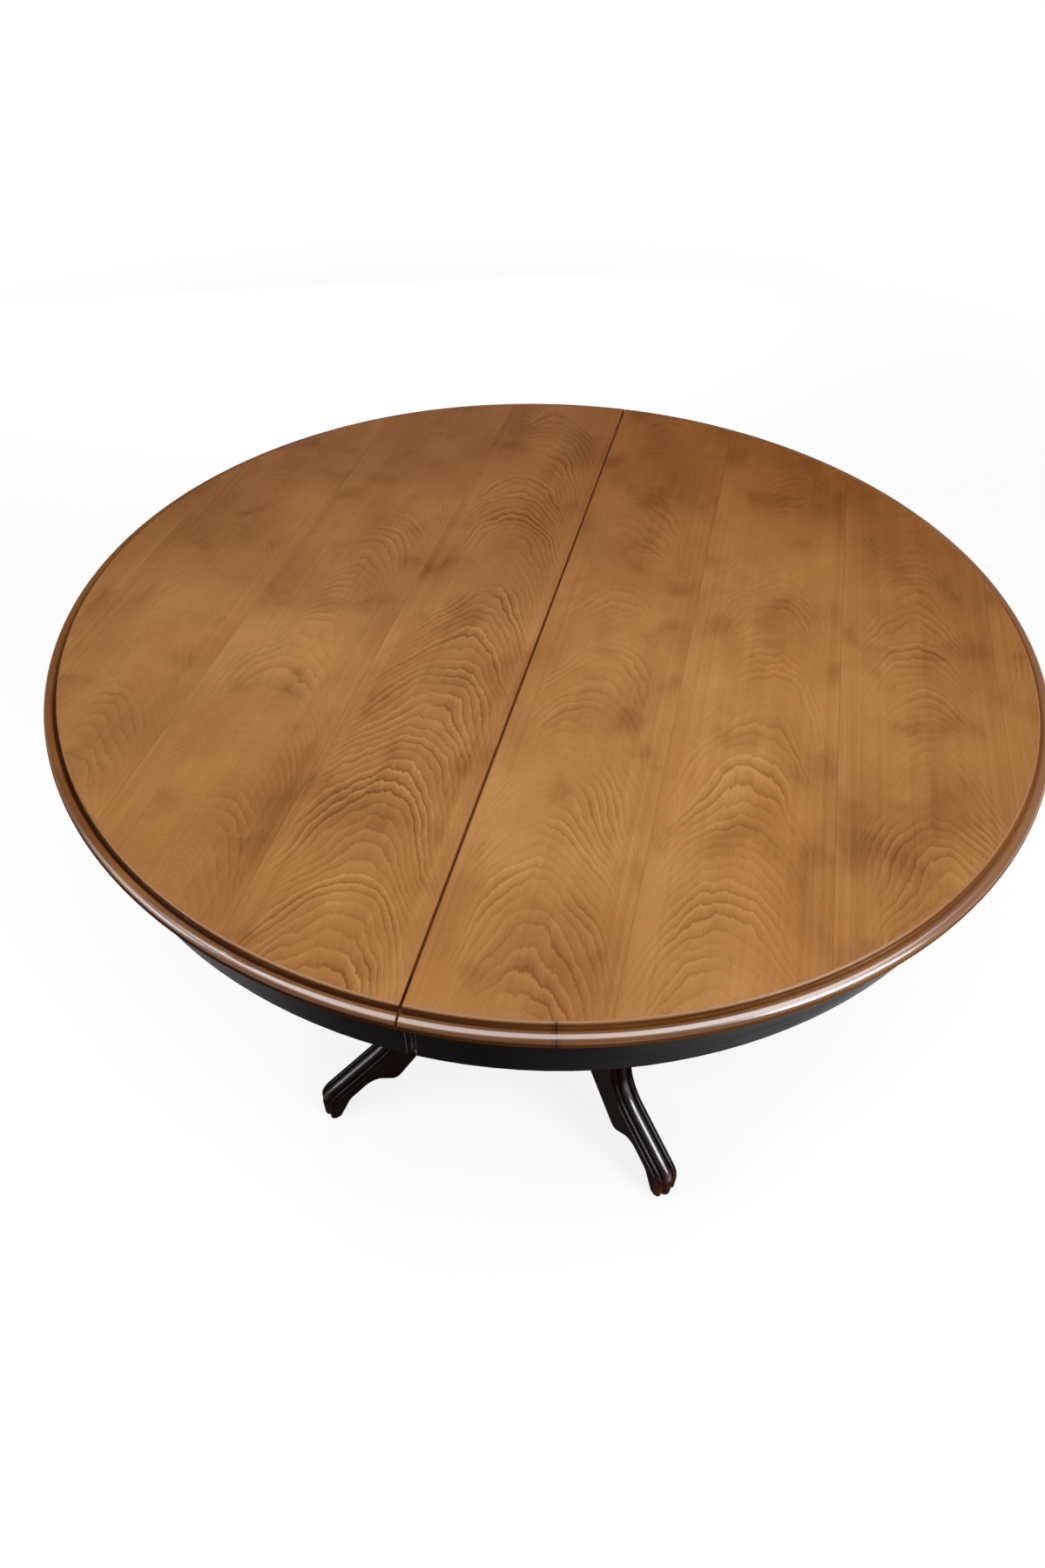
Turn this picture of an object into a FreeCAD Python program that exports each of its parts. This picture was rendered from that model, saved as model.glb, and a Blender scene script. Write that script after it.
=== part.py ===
import FreeCAD, Part
import math
import os

# Round extension table on one pedestal, in mm. The floor is z = 0 and the pedestal's axis is Z.
# The halves of the top slide apart along X; the seam between them runs along Y.

# Top
TABLE_HEIGHT = 750.0
TOP_RADIUS = 487.0            # flat of the top, out to its arris
SEAM_GAP = 2.0
SEAM_ARRIS = 0.6
VENEER_THICKNESS = 1.0
VENEER_STRIP = 150.0
TRAVEL = 170.0                # of each half

# Moulded rim
ARRIS_RADIUS = 2.0
BEAD_RADIUS = 6.5
BEAD_SINK = 3.0               # crown of the bead below the top face
BEAD_SPRING = 45.0            # where the quirk meets the bead, above its centre
BEAD_RETURN = 60.0            # where the bead ends, below its centre
RIM_FOOT = 2.0                # flat band below the bead
RIM_WIDTH = 27.0              # inside the arris
RIM_CLOSER_ANGLE = 13.2

# Apron
APRON_SETBACK = 10.0          # behind the arris
APRON_THICKNESS = 20.0
APRON_HEIGHT = 68.0
APRON_CHAMFER = 3.0
GLUE_BLOCK = 18.0
GLUE_BLOCK_ANGLE = 5.0
GLUE_BLOCK_AT = (-78.0, -40.0, 0.0, 40.0, 78.0)

# Seam dowels; the other half carries the dowels at the opposite places
DOWEL_RADIUS = 5.0
DOWEL_DEPTH = 20.0
DOWEL_NOSE = 2.0
DOWEL_AT = (60.0, -210.0, 360.0)
DOWEL_GLUE_GAP = 0.1
DOWEL_SOCKET_GAP = 0.4

# Slides
RAIL_LENGTH = 450.0
RAIL_WIDTH = 30.0
RAIL_HEIGHT = 44.0
RAIL_OFFSET = 120.0           # from the pedestal's axis
RUNNER_WIDTH = 22.0
RUNNER_LIFT = 2.0             # clear of the head board
RUNNER_END_GAP = 24.0         # clear of the apron
SLIDE_GAP = 0.5
UNDER_TOP_GAP = 1.0
TONGUE_DEPTH = 8.0
TONGUE_HEIGHT = 10.0
TONGUE_GAP = 0.3
GROOVE_WALL = 8.0
STOP_GAP = 1.0

# Head board
BOARD_THICKNESS = 22.0
BOARD_MARGIN = 14.0
BOARD_CORNER = 40.0
BOARD_CHAMFER = 6.0
HEAD_BOLT_CIRCLE = 26.0
HEAD_BOLT_RADIUS = 4.0
HEAD_BOLT_LENGTH = 60.0       # below the board
HEAD_BOLT_HEAD_RADIUS = 7.5
HEAD_BOLT_HEAD = 5.5
HEAD_BOLT_SINK = 8.0
HEAD_BOLT_HEAD_GAP = 1.5

# Equalizer
MODULE = 2.5
PINION_TEETH = 20
PRESSURE_ANGLE = 20.0
BACKLASH = 0.2
GEAR_WIDTH = 12.0
GEAR_LIFT = 13.0              # teeth above the head board
HUB_RADIUS = 15.0
AXLE_RADIUS = 6.0
AXLE_FIT = 0.05
AXLE_DEPTH = 16.0             # in the head board
AXLE_CAP_RADIUS = 11.0
AXLE_CAP = 4.0
RACK_BACK = 10.0
RACK_MARGIN = 25.0            # teeth beyond the travel
RACK_SEAT = 160.0             # length that is screwed to the top

# Screws of the slides
SCREW_RADIUS = 2.5
SCREW_HEAD_RADIUS = 5.0
SCREW_HEAD = 4.0
SCREW_HEAD_GAP = 1.0
SCREW_BITE = 12.0
SCREW_SINK = 18.0
SCREW_GAP = 0.1
SCREWS_PER_BAR = 3
SCREW_END = 32.0              # from the ends of what they hold
RACK_SCREWS = 2

# Latches under the seam
LATCH_OFFSET = 300.0          # from the pedestal's axis, along the seam
LATCH_PIVOT = 35.0            # from the seam
LATCH_PLATE = (50.0, 34.0, 2.5)
LATCH_PIN_RADIUS = 4.0
LATCH_HEAD_RADIUS = 7.5
LATCH_HEAD = 2.0
LATCH_GAP = 0.4
LATCH_FIT = 0.05
LATCH_CORNER = 4.0
LATCH_SCREW_INSET = 6.5       # from the edges of the plates
LATCH_SCREW_RADIUS = 1.75
LATCH_SCREW_HEAD = 3.5        # radius of the countersunk head
LATCH_SCREW_SINK = 0.2        # head inside the face of the plate
LATCH_SCREW_BITE = 12.0
LEVER_THICKNESS = 5.0
LEVER_WIDTH = 16.0
LEVER_BOSS = 11.0
LEVER_TAB = (5.0, 15.0)
PEG_RADIUS = 3.0
PEG_GAP = 0.6

# Feet; the corners of their outline lie out from the column, or back from the toe, and are rounded
FOOT_REACH = 343.0            # toe, under its reeds
FOOT_RISE = 288.0             # crest at the column
FOOT_JOIN = 138.0             # height of the face on the column
FOOT_WIDTH = 34.0
FOOT_ROUND = 2.5
SHOULDER_OUT = 123.0
SHOULDER_RADIUS = 75.0
ANKLE_BACK = 110.5
ANKLE_HEIGHT = 99.5
ANKLE_RADIUS = 70.0
TOE_HEIGHT = 41.0
TOE_RADIUS = 19.5
HEEL_BACK = 10.5
INSTEP_BACK = 28.0
INSTEP_HEIGHT = 33.0
INSTEP_RADIUS = 20.0
ARCH_BACK = 65.5
ARCH_HEIGHT = 54.0
ARCH_RADIUS = 22.0
KNEE_BACK = 100.0
KNEE_HEIGHT = 22.0
KNEE_RADIUS = 11.0
HOLLOW_OUT = 94.0
HOLLOW_DROP = 38.0            # below the face on the column
HOLLOW_RADIUS = 60.0
SIDE_REED = 4.5               # radius
REED_MARGIN = 1.0
REED_LAP = 1.0
REED_BURY = 3.0
FOOT_ANGLES = {"front_right": -45.0, "rear_right": 45.0, "rear_left": 135.0, "front_left": -135.0}
GLIDE_RADIUS = 6.0
GLIDE_HEIGHT = 2.5

# Bolts of the feet
BOLT_RADIUS = 4.0
BOLT_BITE = 50.0
BOLT_GAP = 0.2
BOLT_DROP = 33.0              # upper bolt below the crest
BOLT_PITCH = 70.0
BOLT_END = 4.0
WASHER_RADIUS = 10.0
WASHER = 2.0
NUT_RADIUS = 7.5
NUT = 6.5
NUT_FIT = 0.05

# Column, from the block up
BLOCK_WIDTH = 112.0
BLOCK_CHAMFER = 4.0
BLOCK_OVER = 16.0             # above the reeds of the feet
BLOCK_UNDER = 32.0            # below the feet
SOCKET_WIDTH = 60.0
SOCKET_ROOF = 22.0
COLLAR_RADIUS = 50.0
COLLAR_HEIGHT = 7.0
RING_RADIUS = 60.0
RING_HEIGHT = 21.0
FILLET_RADIUS = 44.0
FILLET_HEIGHT = 5.0
BELLY_RADIUS = 64.0
NECK_RADIUS = 36.0
ASTRAGAL_EDGE = 43.0
ASTRAGAL_RADIUS = 50.0
ASTRAGAL_HEIGHT = 18.0
CAPITAL_NECK = 39.0
CAPITAL_RADIUS = 72.0
CAPITAL_HEIGHT = 42.0
FLANGE_RADIUS = 78.0
FLANGE_HEIGHT = 19.0

# Drop under the block
DROP_RADIUS = 46.0
DROP_EDGE = 5.0
DROP_SWEEP = 11.0
DROP_NECK_RADIUS = 18.0
DROP_NECK = 4.0
DROP_BALL_RADIUS = 24.0
DROP_SPIGOT = 14.0
DROP_GAP = 0.3

Vector = FreeCAD.Vector
ORIGIN = Vector(0, 0, 0)
UP = Vector(0, 0, 1)

TOP_THICKNESS = BEAD_SINK + 2 * BEAD_RADIUS + RIM_FOOT
UNDERSIDE = TABLE_HEIGHT - TOP_THICKNESS
CORE_TOP = TABLE_HEIGHT - VENEER_THICKNESS
SEAM = SEAM_GAP / 2
VENEER_EDGE = TOP_RADIUS - ARRIS_RADIUS
RIM_INNER = TOP_RADIUS - RIM_WIDTH
APRON_OUTER = TOP_RADIUS - APRON_SETBACK
APRON_INNER = APRON_OUTER - APRON_THICKNESS
RAIL_TOP = UNDERSIDE - UNDER_TOP_GAP
BOARD_TOP = RAIL_TOP - RAIL_HEIGHT
BOARD_BOTTOM = BOARD_TOP - BOARD_THICKNESS
RAIL_END = RAIL_LENGTH / 2
TONGUE_MIDDLE = BOARD_TOP + RAIL_HEIGHT / 2
TONGUE_END = RAIL_END - GROOVE_WALL - STOP_GAP - TRAVEL
RUNNER_INNER = -(RAIL_END - GROOVE_WALL)
RUNNER_FACE = RAIL_WIDTH / 2 + SLIDE_GAP
RUNNER_FACES = (RAIL_OFFSET - RUNNER_FACE, -RAIL_OFFSET - RUNNER_FACE)
PITCH_RADIUS = MODULE * PINION_TEETH / 2
GEAR_BOTTOM = BOARD_TOP + GEAR_LIFT
GEAR_TOP = GEAR_BOTTOM + GEAR_WIDTH
LATCH_FACE = UNDERSIDE - LATCH_PLATE[2]
LEVER_TOP = LATCH_FACE - LATCH_GAP
LEVER_BOTTOM = LEVER_TOP - LEVER_THICKNESS
BLOCK_FACE = BLOCK_WIDTH / 2
SIDE_REED_AT = FOOT_WIDTH / 2 - REED_MARGIN - SIDE_REED
REED = SIDE_REED_AT - SIDE_REED + REED_LAP
FOOT_JOIN_LOW = FOOT_RISE - FOOT_JOIN
BOLT_HEIGHTS = (FOOT_RISE - BOLT_DROP, FOOT_RISE - BOLT_DROP - BOLT_PITCH)
BLOCK_TOP = FOOT_RISE + REED + BLOCK_OVER
BLOCK_BOTTOM = FOOT_JOIN_LOW - BLOCK_UNDER
ROOT_DEPTH = 1.25 * MODULE
SPARE_ANGLE = 2.0             # turned past the seam before the trim


def box(x0, x1, y0, y1, z0, z1):
    return Part.makeBox(x1 - x0, y1 - y0, z1 - z0, Vector(x0, y0, z0))


def rod(radius, start, end):
    along = end - start
    return Part.makeCylinder(radius, along.Length, start, along)


def upright(radius, x, y, z0, z1):
    return rod(radius, Vector(x, y, z0), Vector(x, y, z1))


def turned(shape, degrees):
    copy = shape.copy()
    copy.rotate(ORIGIN, UP, degrees)
    return copy


def on_circle(centre, radius, degrees):
    angle = math.radians(degrees)
    return (centre[0] + radius * math.cos(angle), centre[1] + radius * math.sin(angle))


def path(start, steps, place):
    """Edges from start: one point is a line, two an arc, more a smooth curve through them."""
    edges = []
    here = place(*start)
    for step in steps:
        points = [here] + [place(*at) for at in step]
        if len(points) == 2:
            edges.append(Part.makeLine(points[0], points[1]))
        elif len(points) == 3:
            edges.append(Part.Arc(*points).toShape())
        else:
            curve = Part.BSplineCurve()
            curve.interpolate(points)
            edges.append(curve.toShape())
        here = points[-1]
    return edges


def section(start, steps):
    """Face in the XZ plane, closed back to its start."""
    edges = path(start, list(steps) + [(start,)], lambda x, z: Vector(x, 0, z))
    return Part.Face(Part.Wire(edges))


def revolve(face, start=0.0, angle=360.0):
    return turned(face, start).revolve(ORIGIN, UP, angle)


def plate(points, z0, z1):
    corners = [Vector(x, y, z0) for x, y in points]
    return Part.Face(Part.makePolygon(corners + corners[:1])).extrude(UP * (z1 - z0))


def right_of_seam():
    reach = 2 * TOP_RADIUS
    return box(SEAM, reach, -reach, reach, 0, 2 * TABLE_HEIGHT)


def face_veneer():
    sheet = upright(VENEER_EDGE, 0, 0, CORE_TOP, TABLE_HEIGHT).common(right_of_seam())
    reach = 2 * TOP_RADIUS
    arris = section((SEAM, TABLE_HEIGHT), [
        ((SEAM + SEAM_ARRIS, TABLE_HEIGHT),),
        ((SEAM, TABLE_HEIGHT - SEAM_ARRIS),),
    ])
    arris.translate(Vector(0, -reach, 0))
    sheet = sheet.cut(arris.extrude(Vector(0, 2 * reach, 0)))
    strips = []
    for number in range(math.ceil(VENEER_EDGE / VENEER_STRIP)):
        left = number * VENEER_STRIP
        lane = box(left, left + VENEER_STRIP, -reach, reach, 0, 2 * TABLE_HEIGHT)
        strips += sheet.common(lane).Solids
    return Part.makeCompound(strips)


def rim_section():
    bead = (TOP_RADIUS + BEAD_RADIUS, TABLE_HEIGHT - BEAD_SINK - BEAD_RADIUS)
    bead_start = on_circle(bead, BEAD_RADIUS, 180 - BEAD_SPRING)
    bead_end = on_circle(bead, BEAD_RADIUS, BEAD_RETURN - 180)
    quirk = bead_start[0] - TOP_RADIUS
    quirk_centre = (bead_start[0], bead_start[1] + quirk)
    arris = (VENEER_EDGE, TABLE_HEIGHT - ARRIS_RADIUS)
    return section((RIM_INNER, UNDERSIDE), [
        ((RIM_INNER, CORE_TOP),),
        ((VENEER_EDGE, CORE_TOP),),
        ((VENEER_EDGE, TABLE_HEIGHT),),
        (on_circle(arris, ARRIS_RADIUS, 45), on_circle(arris, ARRIS_RADIUS, 0)),
        (on_circle(quirk_centre, quirk, 180),),
        (on_circle(quirk_centre, quirk, 225), bead_start),
        (on_circle(bead, BEAD_RADIUS, 0), bead_end),
        ((bead_end[0], UNDERSIDE),),
    ])


def rim_segments():
    """The closing piece and the two long ones, from the front end of the seam to the rear."""
    half = right_of_seam()
    first = RIM_CLOSER_ANGLE - 90
    middle = (first + 90) / 2
    bounds = (-90 - SPARE_ANGLE, first, middle, 90 + SPARE_ANGLE)
    return [revolve(rim_section(), a, b - a).common(half) for a, b in zip(bounds, bounds[1:])]


def core():
    board = upright(RIM_INNER, 0, 0, UNDERSIDE, CORE_TOP).common(right_of_seam())
    for y in DOWEL_AT:
        board = board.cut(seam_hole(y, DOWEL_RADIUS + DOWEL_GLUE_GAP, DOWEL_DEPTH))
        board = board.cut(seam_hole(-y, DOWEL_RADIUS + DOWEL_SOCKET_GAP, DOWEL_DEPTH + SEAM_GAP))
    for x, y in slide_screw_places():
        board = board.cut(upright(SCREW_RADIUS + SCREW_GAP, x, y, UNDERSIDE, UNDERSIDE + SCREW_BITE))
    pilot = LATCH_SCREW_RADIUS + SCREW_GAP
    for x, y in latch_screw_places(-LATCH_OFFSET) + latch_screw_places(LATCH_OFFSET):
        board = board.cut(upright(pilot, x, y, UNDERSIDE, UNDERSIDE + LATCH_SCREW_BITE))
    return board


def seam_hole(y, radius, depth):
    middle = (UNDERSIDE + CORE_TOP) / 2
    return rod(radius, Vector(SEAM, y, middle), Vector(SEAM + depth, y, middle))


def dowels():
    pins = []
    nose = DOWEL_NOSE - DOWEL_DEPTH - SEAM
    for y in DOWEL_AT:
        middle = Vector(0, y, (UNDERSIDE + CORE_TOP) / 2)
        shank = rod(DOWEL_RADIUS, middle + Vector(nose, 0, 0), middle + Vector(SEAM + DOWEL_DEPTH, 0, 0))
        tip_radius = DOWEL_RADIUS - DOWEL_NOSE
        tip = Part.makeCone(tip_radius, DOWEL_RADIUS, DOWEL_NOSE, middle + Vector(nose - DOWEL_NOSE, 0, 0),
                            Vector(1, 0, 0))
        pins.append(shank.fuse(tip).removeSplitter())
    return Part.makeCompound(pins)


def apron():
    bottom = UNDERSIDE - APRON_HEIGHT
    ring = upright(APRON_OUTER, 0, 0, bottom, UNDERSIDE).cut(upright(APRON_INNER, 0, 0, bottom, UNDERSIDE))
    half = ring.common(right_of_seam())
    near = APRON_OUTER - APRON_CHAMFER
    far = APRON_OUTER + APRON_CHAMFER
    wide = SEAM + 2 * APRON_CHAMFER
    for side in (-1, 1):
        corner = [(SEAM, side * near), (SEAM, side * far), (wide, side * far)]
        half = half.cut(plate(corner, bottom, UNDERSIDE))
    return half


def glue_blocks():
    corner = section((APRON_INNER, UNDERSIDE), [
        ((APRON_INNER - GLUE_BLOCK, UNDERSIDE),),
        ((APRON_INNER, UNDERSIDE - GLUE_BLOCK),),
    ])
    return Part.makeCompound(
        [revolve(corner, at - GLUE_BLOCK_ANGLE / 2, GLUE_BLOCK_ANGLE) for at in GLUE_BLOCK_AT])


def runner_end():
    outer = RAIL_OFFSET + RUNNER_FACE + RUNNER_WIDTH
    return math.sqrt(APRON_INNER ** 2 - outer ** 2) - RUNNER_END_GAP


def spread(start, end, count):
    """Even places between two ends, kept clear of both."""
    step = (end - start - 2 * SCREW_END) / (count - 1)
    return [start + SCREW_END + number * step for number in range(count)]


def runner_screws_x():
    return spread(SEAM, runner_end(), SCREWS_PER_BAR)


def runner(face):
    """Runner with its tongue toward +Y; it is lower where it passes under the other half."""
    end = runner_end()
    back = face - RUNNER_WIDTH
    bottom = BOARD_TOP + RUNNER_LIFT
    bar = box(RUNNER_INNER, end, back, face, bottom, UNDERSIDE)
    bar = bar.cut(box(RUNNER_INNER, SEAM, back, face, RAIL_TOP, UNDERSIDE))
    low = TONGUE_MIDDLE - TONGUE_HEIGHT / 2
    bar = bar.fuse(box(RUNNER_INNER, TONGUE_END, back, face + TONGUE_DEPTH, low, low + TONGUE_HEIGHT))
    middle = face - RUNNER_WIDTH / 2
    for x in runner_screws_x():
        bar = bar.cut(upright(SCREW_HEAD_RADIUS + SCREW_HEAD_GAP, x, middle, bottom, bottom + SCREW_SINK))
        bar = bar.cut(upright(SCREW_RADIUS + SCREW_GAP, x, middle, bottom, UNDERSIDE))
    return bar.removeSplitter()


def slide_screw_places():
    places = []
    for face in RUNNER_FACES:
        places += [(x, face - RUNNER_WIDTH / 2) for x in runner_screws_x()]
    return places + rack_screw_places()


def screw(x, y, seat, tip):
    """Screw driven upward, its head under the seat."""
    head = upright(SCREW_HEAD_RADIUS, x, y, seat - SCREW_HEAD, seat)
    return head.fuse(upright(SCREW_RADIUS, x, y, seat, tip)).removeSplitter()


def slide_screws():
    tip = UNDERSIDE + SCREW_BITE
    runner_seat = BOARD_TOP + RUNNER_LIFT + SCREW_SINK
    rack_places = rack_screw_places()
    screws = []
    for place in slide_screw_places():
        seat = GEAR_BOTTOM if place in rack_places else runner_seat
        screws.append(screw(*place, seat, tip))
    return Part.makeCompound(screws)


def rail(offset):
    """Fixed rail; each side has a groove that stops short of the end the runner leaves by."""
    half = RAIL_WIDTH / 2
    bar = box(-RAIL_END, RAIL_END, -half, half, BOARD_TOP, RAIL_TOP)
    low = TONGUE_MIDDLE - TONGUE_HEIGHT / 2 - TONGUE_GAP
    high = TONGUE_MIDDLE + TONGUE_HEIGHT / 2 + TONGUE_GAP
    depth = TONGUE_DEPTH - SLIDE_GAP + TONGUE_GAP
    groove = box(-RAIL_END, TONGUE_END + TRAVEL + STOP_GAP, -half, depth - half, low, high)
    bar = bar.cut(groove).cut(turned(groove, 180))
    for x in rail_screws_x():
        bar = bar.cut(upright(SCREW_RADIUS + SCREW_GAP, x, 0, BOARD_TOP, BOARD_TOP + SCREW_BITE))
    bar.translate(Vector(0, offset, 0))
    return bar


def rail_screws_x():
    return spread(-RAIL_END, RAIL_END, SCREWS_PER_BAR)


def rail_screws():
    tip = BOARD_TOP + SCREW_BITE
    return Part.makeCompound(
        [screw(x, y, BOARD_BOTTOM, tip) for x in rail_screws_x() for y in (RAIL_OFFSET, -RAIL_OFFSET)])


def head_bolt_places():
    return [on_circle((0, 0), HEAD_BOLT_CIRCLE, degrees) for degrees in (45, 135, 225, 315)]


def head_board():
    wide = RAIL_OFFSET + RUNNER_FACE + RUNNER_WIDTH + BOARD_MARGIN
    board = box(-RAIL_END, RAIL_END, -wide, wide, BOARD_BOTTOM, BOARD_TOP)
    corners = [edge for edge in board.Edges if abs(edge.tangentAt(0).z) > 0.5]
    board = board.makeFillet(BOARD_CORNER, corners)
    rim = [edge for edge in board.Edges if edge.BoundBox.ZMax < BOARD_BOTTOM + 0.1]
    board = board.makeChamfer(BOARD_CHAMFER, rim)
    for x in rail_screws_x():
        for y in (RAIL_OFFSET, -RAIL_OFFSET):
            board = board.cut(upright(SCREW_RADIUS + SCREW_GAP, x, y, BOARD_BOTTOM, BOARD_TOP))
    for x, y in head_bolt_places():
        board = board.cut(upright(HEAD_BOLT_RADIUS + BOLT_GAP, x, y, BOARD_BOTTOM, BOARD_TOP))
        sink = HEAD_BOLT_HEAD_RADIUS + HEAD_BOLT_HEAD_GAP
        board = board.cut(upright(sink, x, y, BOARD_TOP - HEAD_BOLT_SINK, BOARD_TOP))
    return board.cut(upright(AXLE_RADIUS + DOWEL_GLUE_GAP, 0, 0, BOARD_TOP - AXLE_DEPTH, BOARD_TOP))


def hexagon(radius, thickness):
    points = [on_circle((0, 0), radius, 60 * number) for number in range(6)]
    return plate(points, 0, thickness)


def head_bolts():
    bolts = []
    seat = BOARD_TOP - HEAD_BOLT_SINK
    for x, y in head_bolt_places():
        head = hexagon(HEAD_BOLT_HEAD_RADIUS, HEAD_BOLT_HEAD)
        head.translate(Vector(x, y, seat))
        shank = upright(HEAD_BOLT_RADIUS, x, y, BOARD_BOTTOM - HEAD_BOLT_LENGTH, seat)
        bolts.append(head.fuse(shank).removeSplitter())
    return Part.makeCompound(bolts)


def pinion():
    """Involute pinion with a tooth toward each rack, on a hub that stands on the head board."""
    angle = math.radians(PRESSURE_ANGLE)
    base = PITCH_RADIUS * math.cos(angle)
    outer = PITCH_RADIUS + MODULE
    root = PITCH_RADIUS - ROOT_DEPTH
    at_pitch = (math.pi * MODULE / 2 - BACKLASH) / (2 * PITCH_RADIUS)
    at_base = at_pitch + math.tan(angle) - angle

    def half_width(radius):
        roll = math.acos(min(1.0, base / radius))
        return math.degrees(at_base - math.tan(roll) + roll)

    def at(radius, degrees):
        return on_circle((0, 0), radius, degrees)

    pitch = 360 / PINION_TEETH
    middle = (base + outer) / 2
    start = at(root, 90 - half_width(base))
    steps = []
    for number in range(PINION_TEETH):
        tooth = 90 + number * pitch
        wide, mid, tip = half_width(base), half_width(middle), half_width(outer)
        steps.append((at(base, tooth - wide),))
        steps.append((at(middle, tooth - mid), at(outer, tooth - tip)))
        steps.append((at(outer, tooth), at(outer, tooth + tip)))
        steps.append((at(middle, tooth + mid), at(base, tooth + wide)))
        steps.append((at(root, tooth + wide),))
        steps.append((at(root, tooth + pitch / 2), at(root, tooth + pitch - wide)))
    edges = path(start, steps, lambda x, y: Vector(x, y, GEAR_BOTTOM))
    gear = Part.Face(Part.Wire(edges)).extrude(UP * GEAR_WIDTH)
    gear = gear.fuse(upright(HUB_RADIUS, 0, 0, BOARD_TOP + SLIDE_GAP, GEAR_BOTTOM))
    return gear.cut(upright(AXLE_RADIUS + AXLE_FIT, 0, 0, BOARD_TOP, GEAR_TOP)).removeSplitter()


def axle():
    seat = GEAR_TOP + SLIDE_GAP
    pin = upright(AXLE_RADIUS, 0, 0, BOARD_TOP - AXLE_DEPTH, seat)
    return pin.fuse(upright(AXLE_CAP_RADIUS, 0, 0, seat, seat + AXLE_CAP)).removeSplitter()


def rack_back():
    return -PITCH_RADIUS - ROOT_DEPTH - RACK_BACK


def rack_seat():
    start = SEAM + RACK_MARGIN
    return start, start + RACK_SEAT


def rack_screw_places():
    start, end = rack_seat()
    middle = rack_back() + RACK_BACK / 2
    return [(x, middle) for x in spread(start, end, RACK_SCREWS)]


def rack():
    """Rack of the right half: its teeth reach across the seam by the travel."""
    pitch = math.pi * MODULE
    slope = math.tan(math.radians(PRESSURE_ANGLE))
    half = (pitch / 2 - BACKLASH) / 2
    root = -PITCH_RADIUS - ROOT_DEPTH
    start, end = rack_seat()
    free_end = -(TRAVEL + RACK_MARGIN)
    points = [(free_end, rack_back()), (free_end, root)]
    first = math.ceil((free_end + pitch) / pitch)
    last = math.floor((start - pitch) / pitch)
    for number in range(first, last + 1):
        middle = (number + 0.5) * pitch
        foot = half + ROOT_DEPTH * slope
        tip = half - MODULE * slope
        points += [(middle - foot, root), (middle - tip, MODULE - PITCH_RADIUS)]
        points += [(middle + tip, MODULE - PITCH_RADIUS), (middle + foot, root)]
    points += [(end, root), (end, rack_back())]
    bar = plate(points, GEAR_BOTTOM, GEAR_TOP)
    bar = bar.fuse(box(start, end, rack_back(), root, GEAR_BOTTOM, UNDERSIDE))
    for x, y in rack_screw_places():
        bar = bar.cut(upright(SCREW_RADIUS + SCREW_GAP, x, y, GEAR_BOTTOM, UNDERSIDE))
    return bar.removeSplitter()


def latch_screw_places(y):
    along = LATCH_PLATE[0] / 2 - LATCH_SCREW_INSET
    across = LATCH_PLATE[1] / 2 - LATCH_SCREW_INSET
    return [(LATCH_PIVOT + i * along, y + j * across) for i in (-1, 1) for j in (-1, 1)]


def countersunk(x, y, head, shank, face, tip):
    """Cone of 90 degrees that starts at a face and runs up into a shank."""
    cone = Part.makeCone(head, shank, head - shank, Vector(x, y, face), UP)
    return cone.fuse(upright(shank, x, y, face + head - shank, tip)).removeSplitter()


def latch_screws():
    face = LATCH_FACE + LATCH_SCREW_SINK
    tip = UNDERSIDE + LATCH_SCREW_BITE
    places = latch_screw_places(-LATCH_OFFSET) + latch_screw_places(LATCH_OFFSET)
    return Part.makeCompound([
        countersunk(x, y, LATCH_SCREW_HEAD, LATCH_SCREW_RADIUS, face, tip) for x, y in places
    ])


def latch_plate(y):
    """Plate with rounded corners and countersunk holes, in which the heads of its screws seat."""
    length, width, _ = LATCH_PLATE
    near = LATCH_PIVOT - length / 2
    metal = box(near, near + length, y - width / 2, y + width / 2, LATCH_FACE, UNDERSIDE)
    corners = [edge for edge in metal.Edges if abs(edge.tangentAt(edge.FirstParameter).z) > 0.5]
    metal = metal.makeFillet(LATCH_CORNER, corners)
    mouth = LATCH_SCREW_HEAD + LATCH_SCREW_SINK
    for place in latch_screw_places(y):
        metal = metal.cut(countersunk(*place, mouth, LATCH_SCREW_RADIUS + SCREW_GAP, LATCH_FACE, UNDERSIDE))
    return metal


def latch_base():
    head = LEVER_BOTTOM - LATCH_GAP
    pin = upright(LATCH_PIN_RADIUS, LATCH_PIVOT, -LATCH_OFFSET, head, LATCH_FACE)
    pin = pin.fuse(upright(LATCH_HEAD_RADIUS, LATCH_PIVOT, -LATCH_OFFSET, head - LATCH_HEAD, head))
    return latch_plate(-LATCH_OFFSET).fuse(pin).removeSplitter()


def keeper():
    peg = upright(PEG_RADIUS, LATCH_PIVOT, LATCH_OFFSET, LEVER_BOTTOM - LATCH_GAP, LATCH_FACE)
    return latch_plate(LATCH_OFFSET).fuse(peg).removeSplitter()


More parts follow.
